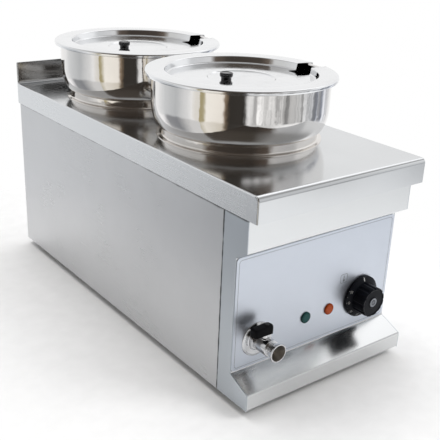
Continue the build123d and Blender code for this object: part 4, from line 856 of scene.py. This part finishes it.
for node_name, colour in (("power_lamp_lens", "green"), ("heating_lamp_lens", "orange")):
    lens = [(6, -2.2), (6, 0.05), (8.5, 0.05), (8.5, 1.9), (6.4, 2.45), (0, 2.6)]
    lens = [Vector((0, -2.2))] + rounded(lens, [0.1, 0.2, 0.9, 3.0], 6)
    place = ((LAMP_X[colour], PLATE_Y, LAMP_Z), "-Y", 72)
    turned_piece(f"{node_name}_moulded", lens, place, "cabinet", colour, [node_name])


# ------------------------------------------------------ printing on the plate


def plate_strip(shape, inner, outer):
    """Adds a thin closed strip between two outlines on the control plate."""
    rows = []
    for outline, reach in ((outer, 0.0), (outer, 0.05), (inner, 0.05), (inner, 0.0)):
        rows.append([shape.verts.new((x, PLATE_Y - reach, z)) for x, z in outline])
    bridge(shape, rows)


def soft_box(low, high, radius):
    """Rounded rectangle between two corners."""
    (left, under), (right, over) = [[value + radius for value in low], [value - radius for value in high]]
    corners = ((right, over, 0), (left, over, 90), (left, under, 180), (right, under, 270))
    points = []
    for x, z, start in corners:
        points += arc((x, z), radius, start, start + 90, 6)
    return points


def frame_line(shape, low, high, radius, width):
    """Line of this width along a rounded rectangle."""
    inner_low, inner_high = [value + width for value in low], [value - width for value in high]
    plate_strip(shape, soft_box(inner_low, inner_high, radius - width), soft_box(low, high, radius))


shape = bmesh.new()
frame_line(shape, (-142.2, 55.8), (142.2, 214.2), 5.0, 0.55)
frame_line(shape, (45.5, 130.5), (59.5, 144.5), 3.0, 0.7)
bulb = arc((52.5, 134.4), 1.9, 0, 360, 20)[:-1]
stem = soft_box((51.8, 135.6), (53.2, 142.2), 0.65)
for outline in (bulb, stem):
    top = [shape.verts.new((x, PLATE_Y - 0.05, z)) for x, z in outline]
    low = [shape.verts.new((x, PLATE_Y, z)) for x, z in outline]
    shape.faces.new(top)
    bridge(shape, [low, top])
piece("plate_lines", shape, "cabinet", "ink")


# ------------------------------------------------------- feet, screws and gland


def screw(shape, place, axis, shank, length, radius, head):
    """Adds a pan-head screw with a cross recess and a threaded shank."""
    side, up = AXES[axis]
    along = side.cross(up)
    origin = Vector(place)
    columns, rings, pitch = 48, 12, 0.7
    angles = [2 * pi * index / columns for index in range(columns)]
    rows = []
    dome = [(radius * step / rings, head * (1 - 0.12 * (step / rings) ** 4)) for step in range(1, rings + 1)]
    centre = shape.verts.new(origin + along * head * 0.45)
    for reach, height in dome:
        row = []
        for turn in angles:
            flat = Vector((cos(turn), sin(turn))) * reach
            slot = min(abs(flat.x), abs(flat.y)) < radius * 0.13 and reach < radius * 0.62
            sink = head * 0.5 * (1 - reach / (radius * 0.75)) if slot else 0.0
            rise = along * (height - max(sink, 0))
            row.append(shape.verts.new(origin + side * flat.x + up * flat.y + rise))
        rows.append(row)
    thread = [(radius, head * 0.35), (radius, 0.0), (shank, 0.0)]
    turns = max(int(length / pitch), 3)
    for index in range(turns):
        start = -0.4 - (length - 1.2) * index / turns
        thread += [(shank * 0.84, start), (shank, start - 0.3)]
    thread += [(shank * 0.84, pitch - length), (shank * 0.3, -length), (0, -length)]
    spokes = [side * cos(angle) + up * sin(angle) for angle in angles]
    for reach, height in thread[:-1]:
        rows.append([shape.verts.new(origin + spoke * reach + along * height) for spoke in spokes])
    tip = shape.verts.new(origin + along * -length)
    for index in range(columns):
        after = (index + 1) % columns
        shape.faces.new([centre, rows[0][index], rows[0][after]])
        shape.faces.new([tip, rows[-1][after], rows[-1][index]])
    for lower, upper in zip(rows, rows[1:]):
        for index in range(columns):
            after = (index + 1) % columns
            shape.faces.new([lower[index], upper[index], upper[after], lower[after]])


REAR_PLACES = [(x, REAR_Y, z) for x in (-140.5, 140.5) for z in (36, 161.25, 263.5)]
BASE_PLACES = [(x, y, 12) for x in (-107.7, 107.7) for y in POTS.values()]
FOOT_PLACES = [(x, y, 6) for x in (-119.7, 119.7) for y in (-251.35, 294.65)]
# Places, axis, shank radius, length, head radius and head height
SCREWS = {
    "rear_screws": (REAR_PLACES, "+Y", 2.0, 5.4, 3.5, 1.6),
    "base_screws": (BASE_PLACES, "-Z", 2.0, 5.4, 3.5, 2.0),
    "foot_screws": (FOOT_PLACES, "-Z", 2.5, 12.0, 5.0, 2.5),
}
for node_name, (places, axis, shank, length, radius, head) in SCREWS.items():
    shape = bmesh.new()
    for place in places:
        screw(shape, place, axis, shank, length, radius, head)
    piece(f"{node_name}_cut", shape, "cabinet", "screw", [node_name])

for foot_name in ("front_left_foot", "rear_left_foot", "front_right_foot", "rear_right_foot"):
    low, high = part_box(foot_name)
    middle = (low + high) / 2 / MM
    foot = [(2.7, 11.98), (12.6, 11.98), (13.0, 11.6)]
    for index in range(4):
        top = 10.6 - 2.4 * index
        reach = 11.5 + 1.5 * top / 12
        foot += [(reach, top), (reach - 0.7, top - 0.5), (reach - 0.7, top - 1.1), (reach - 0.2, top - 1.6)]
    foot += [(11.5, 0.6), (11.0, 0.0), (8.6, 0.0), (8.3, 0.5), (7.0, 0.5), (6.6, 0.0), (5.2, 0.0)]
    foot += [(5.2, 6.0), (2.7, 6.0), (2.7, 11.98)]
    foot, place = [Vector(point) for point in foot], ((middle.x, middle.y, 0), "+Z", 72)
    turned_piece(f"{foot_name}_ribbed", foot, place, "cabinet", "rubber", [foot_name])


def knurled(radius, height, turn):
    """Gland cap with shallow grip ribs."""
    if radius < 9.5 or not 6.0 < height < 12.5:
        return radius
    return radius - 0.45 * (0.5 + 0.5 * cos(24 * turn))


gland_origin = (95.0, REAR_Y, 72.0)
gland = [(4, -16), (8, -16), (8, 0.02), (9.6, 0.02), (9.6, 5.6), (10, 5.8), (10, 12.6), (6.8, 15.9)]
gland = rounded(gland + [(4.4, 15.9), (4, 15.2), (4, -16)], [0.5, 0.1, 0.1, 0.1, 0.3, 0.6, 0.8, 0.5, 0.2], 5)
shape = bmesh.new()
dense = []
for first, second in zip(gland, gland[1:]):
    pieces_between = max(1, int((second - first).length / 1.2))
    dense += [first.lerp(second, k / pieces_between) for k in range(pieces_between)]
turn_profile(shape, dense + [gland[-1]], gland_origin, "+Y", 144, knurled)
prism(shape, hexagon(23.0), gland_origin, "+Y", 5.0, 0.6)
piece("gland_cap", shape, "cabinet", "moulding", ["cable_gland"])


# ------------------------------------------------------------ carried-over CAD

slots = {part["node"]: part["material_slot"] for part in frame["record"]["subparts"]}
for node_name, cad in frame["nodes"].items():
    chosen = materials[NODE_MATERIALS.get(node_name, SLOT_MATERIALS[slots[node_name]])]
    if not cad.material_slots:
        cad.data.materials.append(chosen)
    for slot in cad.material_slots:
        slot.material = chosen


# ---------------------------------------------------------------------- camera

camera_data = bpy.data.cameras.new("camera")
camera = bpy.data.objects.new("camera", camera_data)
scene.collection.objects.link(camera)
camera.location = (-0.6987, -0.97515, 0.62299)
camera.rotation_euler = (radians(67.803), radians(-2.262), radians(-37.043))
camera_data.lens = 63.11
camera_data.sensor_width = 36.0
camera_data.clip_start = 0.01
scene.camera = camera


# ----------------------------------------------------------- floor and backdrop

# Half sizes of the footprint, and how far outside it the floor's fade starts and ends, in metres
FOOTPRINT, FADE_START, FADE_END = (0.15, 0.35), 0.05, 0.40
floor_mesh = bpy.data.meshes.new("floor")
shape = bmesh.new()
bmesh.ops.create_grid(shape, x_segments=24, y_segments=24, size=3.0)
shape.to_mesh(floor_mesh)
shape.free()
floor = bpy.data.objects.new("floor", floor_mesh)
scene.collection.objects.link(floor)
floor_material, tree = new_material("floor")
place = parts_of(tree, object_point(tree))
outside = []
for way, half in zip("XY", FOOTPRINT):
    past = math_node(tree, "SUBTRACT", math_node(tree, "ABSOLUTE", place[way]), half)
    outside.append(math_node(tree, "MAXIMUM", past, 0.0))
fade = remap(tree, length_of(tree, *outside), FADE_START, FADE_END, 1.0, 0.0, "SMOOTHSTEP")
grain = spread(tree, noise(tree, 40, 4), 0.0, 1.0)
floor_colour = blend_colours(tree, grain, grey(0.90), grey(0.94))
matt = node(tree, "ShaderNodeBsdfDiffuse", {"Color": floor_colour})
clear = node(tree, "ShaderNodeBsdfTransparent")
mixed = node(tree, "ShaderNodeMixShader", {"Fac": fade, 1: clear.outputs[0], 2: matt.outputs[0]})
node(tree, "ShaderNodeOutputMaterial", {"Surface": mixed.outputs[0]})
floor_mesh.materials.append(floor_material)


# ------------------------------------------------------------- world and lamps

# The studio room by direction: (azimuth as a share of a turn from -X, colour), in layers by height
LOW_ROOM = [
    (0.000, (0.50, 0.43, 0.25)),
    (0.014, (0.48, 0.42, 0.24)),
    (0.022, (1.18, 1.14, 1.06)),
    (0.080, (1.08, 1.03, 0.95)),
    (0.092, (0.30, 0.22, 0.15)),
    (0.102, (0.045, 0.04, 0.035)),
    (0.158, (0.05, 0.045, 0.04)),
    (0.168, grey(1.02)),
    (0.215, grey(1.22)),
    (0.262, grey(1.00)),
    (0.280, grey(1.25)),
    (0.300, grey(0.55)),
    (0.330, grey(0.62)),
    (0.378, (0.72, 0.73, 0.74)),
    (0.392, (1.05, 1.07, 1.10)),
    (0.430, (0.80, 0.83, 0.88)),
    (0.450, (0.36, 0.39, 0.47)),
    (0.462, (0.95, 0.98, 1.05)),
    (0.486, (0.34, 0.37, 0.45)),
    (0.500, (0.90, 0.93, 1.00)),
    (0.560, (1.10, 1.10, 1.12)),
    (0.790, (1.05, 1.06, 1.07)),
    (0.835, (0.78, 0.80, 0.82)),
    (0.900, (0.62, 0.64, 0.66)),
    (0.950, (0.90, 0.91, 0.92)),
    (0.970, grey(1.10)),
    (0.988, (0.95, 0.92, 0.86)),
]
HIGH_ROOM = [
    (0.000, (0.62, 0.60, 0.57)),
    (0.020, (0.16, 0.125, 0.10)),
    (0.060, (0.075, 0.062, 0.052)),
    (0.200, (0.06, 0.05, 0.042)),
    (0.262, (0.14, 0.11, 0.09)),
    (0.285, grey(0.86)),
    (0.315, (0.80, 0.80, 0.81)),
    (0.385, (0.78, 0.79, 0.80)),
    (0.412, (1.14, 1.15, 1.16)),
    (0.490, (1.14, 1.15, 1.16)),
    (0.560, (1.06, 1.06, 1.07)),
    (0.760, (1.06, 1.06, 1.07)),
    (0.860, (0.90, 0.91, 0.92)),
    (0.960, (0.75, 0.75, 0.74)),
]
UPPER_ROOM = [
    (0.000, (0.12, 0.10, 0.085)),
    (0.200, (0.10, 0.085, 0.07)),
    (0.300, (0.45, 0.44, 0.43)),
    (0.420, grey(0.46)),
    (0.482, grey(0.60)),
    (0.508, (1.55, 1.55, 1.56)),
    (0.660, (1.50, 1.50, 1.51)),
    (0.740, (0.85, 0.85, 0.86)),
    (0.900, (0.55, 0.54, 0.53)),
]
FLOOR_ROOM = [
    (0.000, (0.62, 0.58, 0.46)),
    (0.022, (1.00, 0.96, 0.88)),
    (0.078, (0.80, 0.74, 0.64)),
    (0.092, (0.22, 0.17, 0.12)),
    (0.102, (0.05, 0.045, 0.04)),
    (0.160, (0.06, 0.055, 0.05)),
    (0.172, grey(0.75)),
    (0.250, grey(0.80)),
    (0.310, (1.22, 1.23, 1.24)),
    (0.400, (1.22, 1.23, 1.24)),
    (0.480, (0.90, 0.92, 0.95)),
    (0.780, (1.22, 1.22, 1.23)),
    (0.812, (1.14, 1.14, 1.16)),
    (0.850, (0.36, 0.37, 0.39)),
    (0.900, (0.30, 0.31, 0.33)),
    (0.960, grey(0.80)),
]
ROOM_STRENGTH = 0.95
world = bpy.data.worlds.new("studio")
scene.world = world
world.use_nodes = True
tree = world.node_tree
tree.nodes.clear()
coords = node(tree, "ShaderNodeTexCoord").outputs["Generated"]
ways = parts_of(tree, coords)
azimuth = math_node(tree, "ARCTAN2", ways["Y"], ways["X"])
uneven = spread(tree, noise_at(tree, coords, 9.0, 3.0, 0.7), -0.006, 0.006)
turn = plus(tree, remap(tree, azimuth, -pi, pi), uneven)
around = node(tree, "ShaderNodeCombineXYZ", {"X": turn, "Y": times(tree, ways["Z"], 0.035)})
# Upright bars in the low room that break up what the pots mirror on their right
bars = noise_at(tree, around.outputs[0], 62.0, 4.0, 0.7)
barred = times(tree, remap(tree, turn, 0.14, 0.19), remap(tree, turn, 0.60, 0.52))
streak = remap(tree, bars, 0.42, 0.60, -0.55, 0.12)
share = plus(tree, times(tree, streak, barred), 1.0)
values = {0: ramp(tree, turn, LOW_ROOM), "Scale": share}
low = node(tree, "ShaderNodeVectorMath", values, operation="SCALE").outputs[0]
high = ramp(tree, turn, HIGH_ROOM)
ground = ramp(tree, turn, FLOOR_ROOM)
upper = ramp(tree, turn, UPPER_ROOM)


def band(low_edge, high_edge):
    """Share from 0 to 1 as a direction climbs from one height to the other."""
    return remap(tree, ways["Z"], low_edge, high_edge, kind="SMOOTHSTEP")


# Layers from the floor up to a plain zenith
studio = blend_colours(tree, band(-0.35, -0.29), ground, low)
studio = blend_colours(tree, band(-0.06, 0.02), studio, high)
studio = blend_colours(tree, band(0.46, 0.62), studio, upper)
studio = blend_colours(tree, band(0.86, 0.95), studio, grey(0.55))

# White seen directly, through things, and by mirrored rays towards the side behind the object
light_path = node(tree, "ShaderNodeLightPath").outputs
backdrop = times(tree, remap(tree, turn, 0.54, 0.58), remap(tree, turn, 0.79, 0.75))
backdrop = times(tree, backdrop, remap(tree, ways["Z"], 0.44, 0.36))
direct = math_node(tree, "MAXIMUM", light_path["Is Camera Ray"], light_path["Is Transmission Ray"])
mirrored = times(tree, light_path["Is Glossy Ray"], backdrop)
lit = node(tree, "ShaderNodeBackground", {"Color": studio, "Strength": ROOM_STRENGTH})
white = node(tree, "ShaderNodeBackground", {"Color": (1, 1, 1, 1), "Strength": 1.0})
bright = math_node(tree, "MAXIMUM", direct, mirrored)
shown = node(tree, "ShaderNodeMixShader", {"Fac": bright, 1: lit.outputs[0], 2: white.outputs[0]})
node(tree, "ShaderNodeOutputWorld", {"Surface": shown.outputs[0]})

LAMP_TARGET = Vector((0, 0, 0.2))


def lamp(name, place, size, power):
    """Soft square lamp aimed at the object, unseen by mirrored rays."""
    data = bpy.data.lights.new(name, "AREA")
    data.shape = "SQUARE"
    data.size = size
    data.energy = power
    made = bpy.data.objects.new(name, data)
    scene.collection.objects.link(made)
    made.location = place
    made.rotation_mode = "QUATERNION"
    made.rotation_quaternion = (LAMP_TARGET - Vector(place)).to_track_quat("-Z", "Y")
    made.visible_glossy = False


lamp("key_lamp", (1.1, -1.5, 1.9), 1.0, 22)
lamp("top_lamp", (-0.3, 0.4, 2.2), 1.6, 26)

scene.view_settings.view_transform = "Standard"
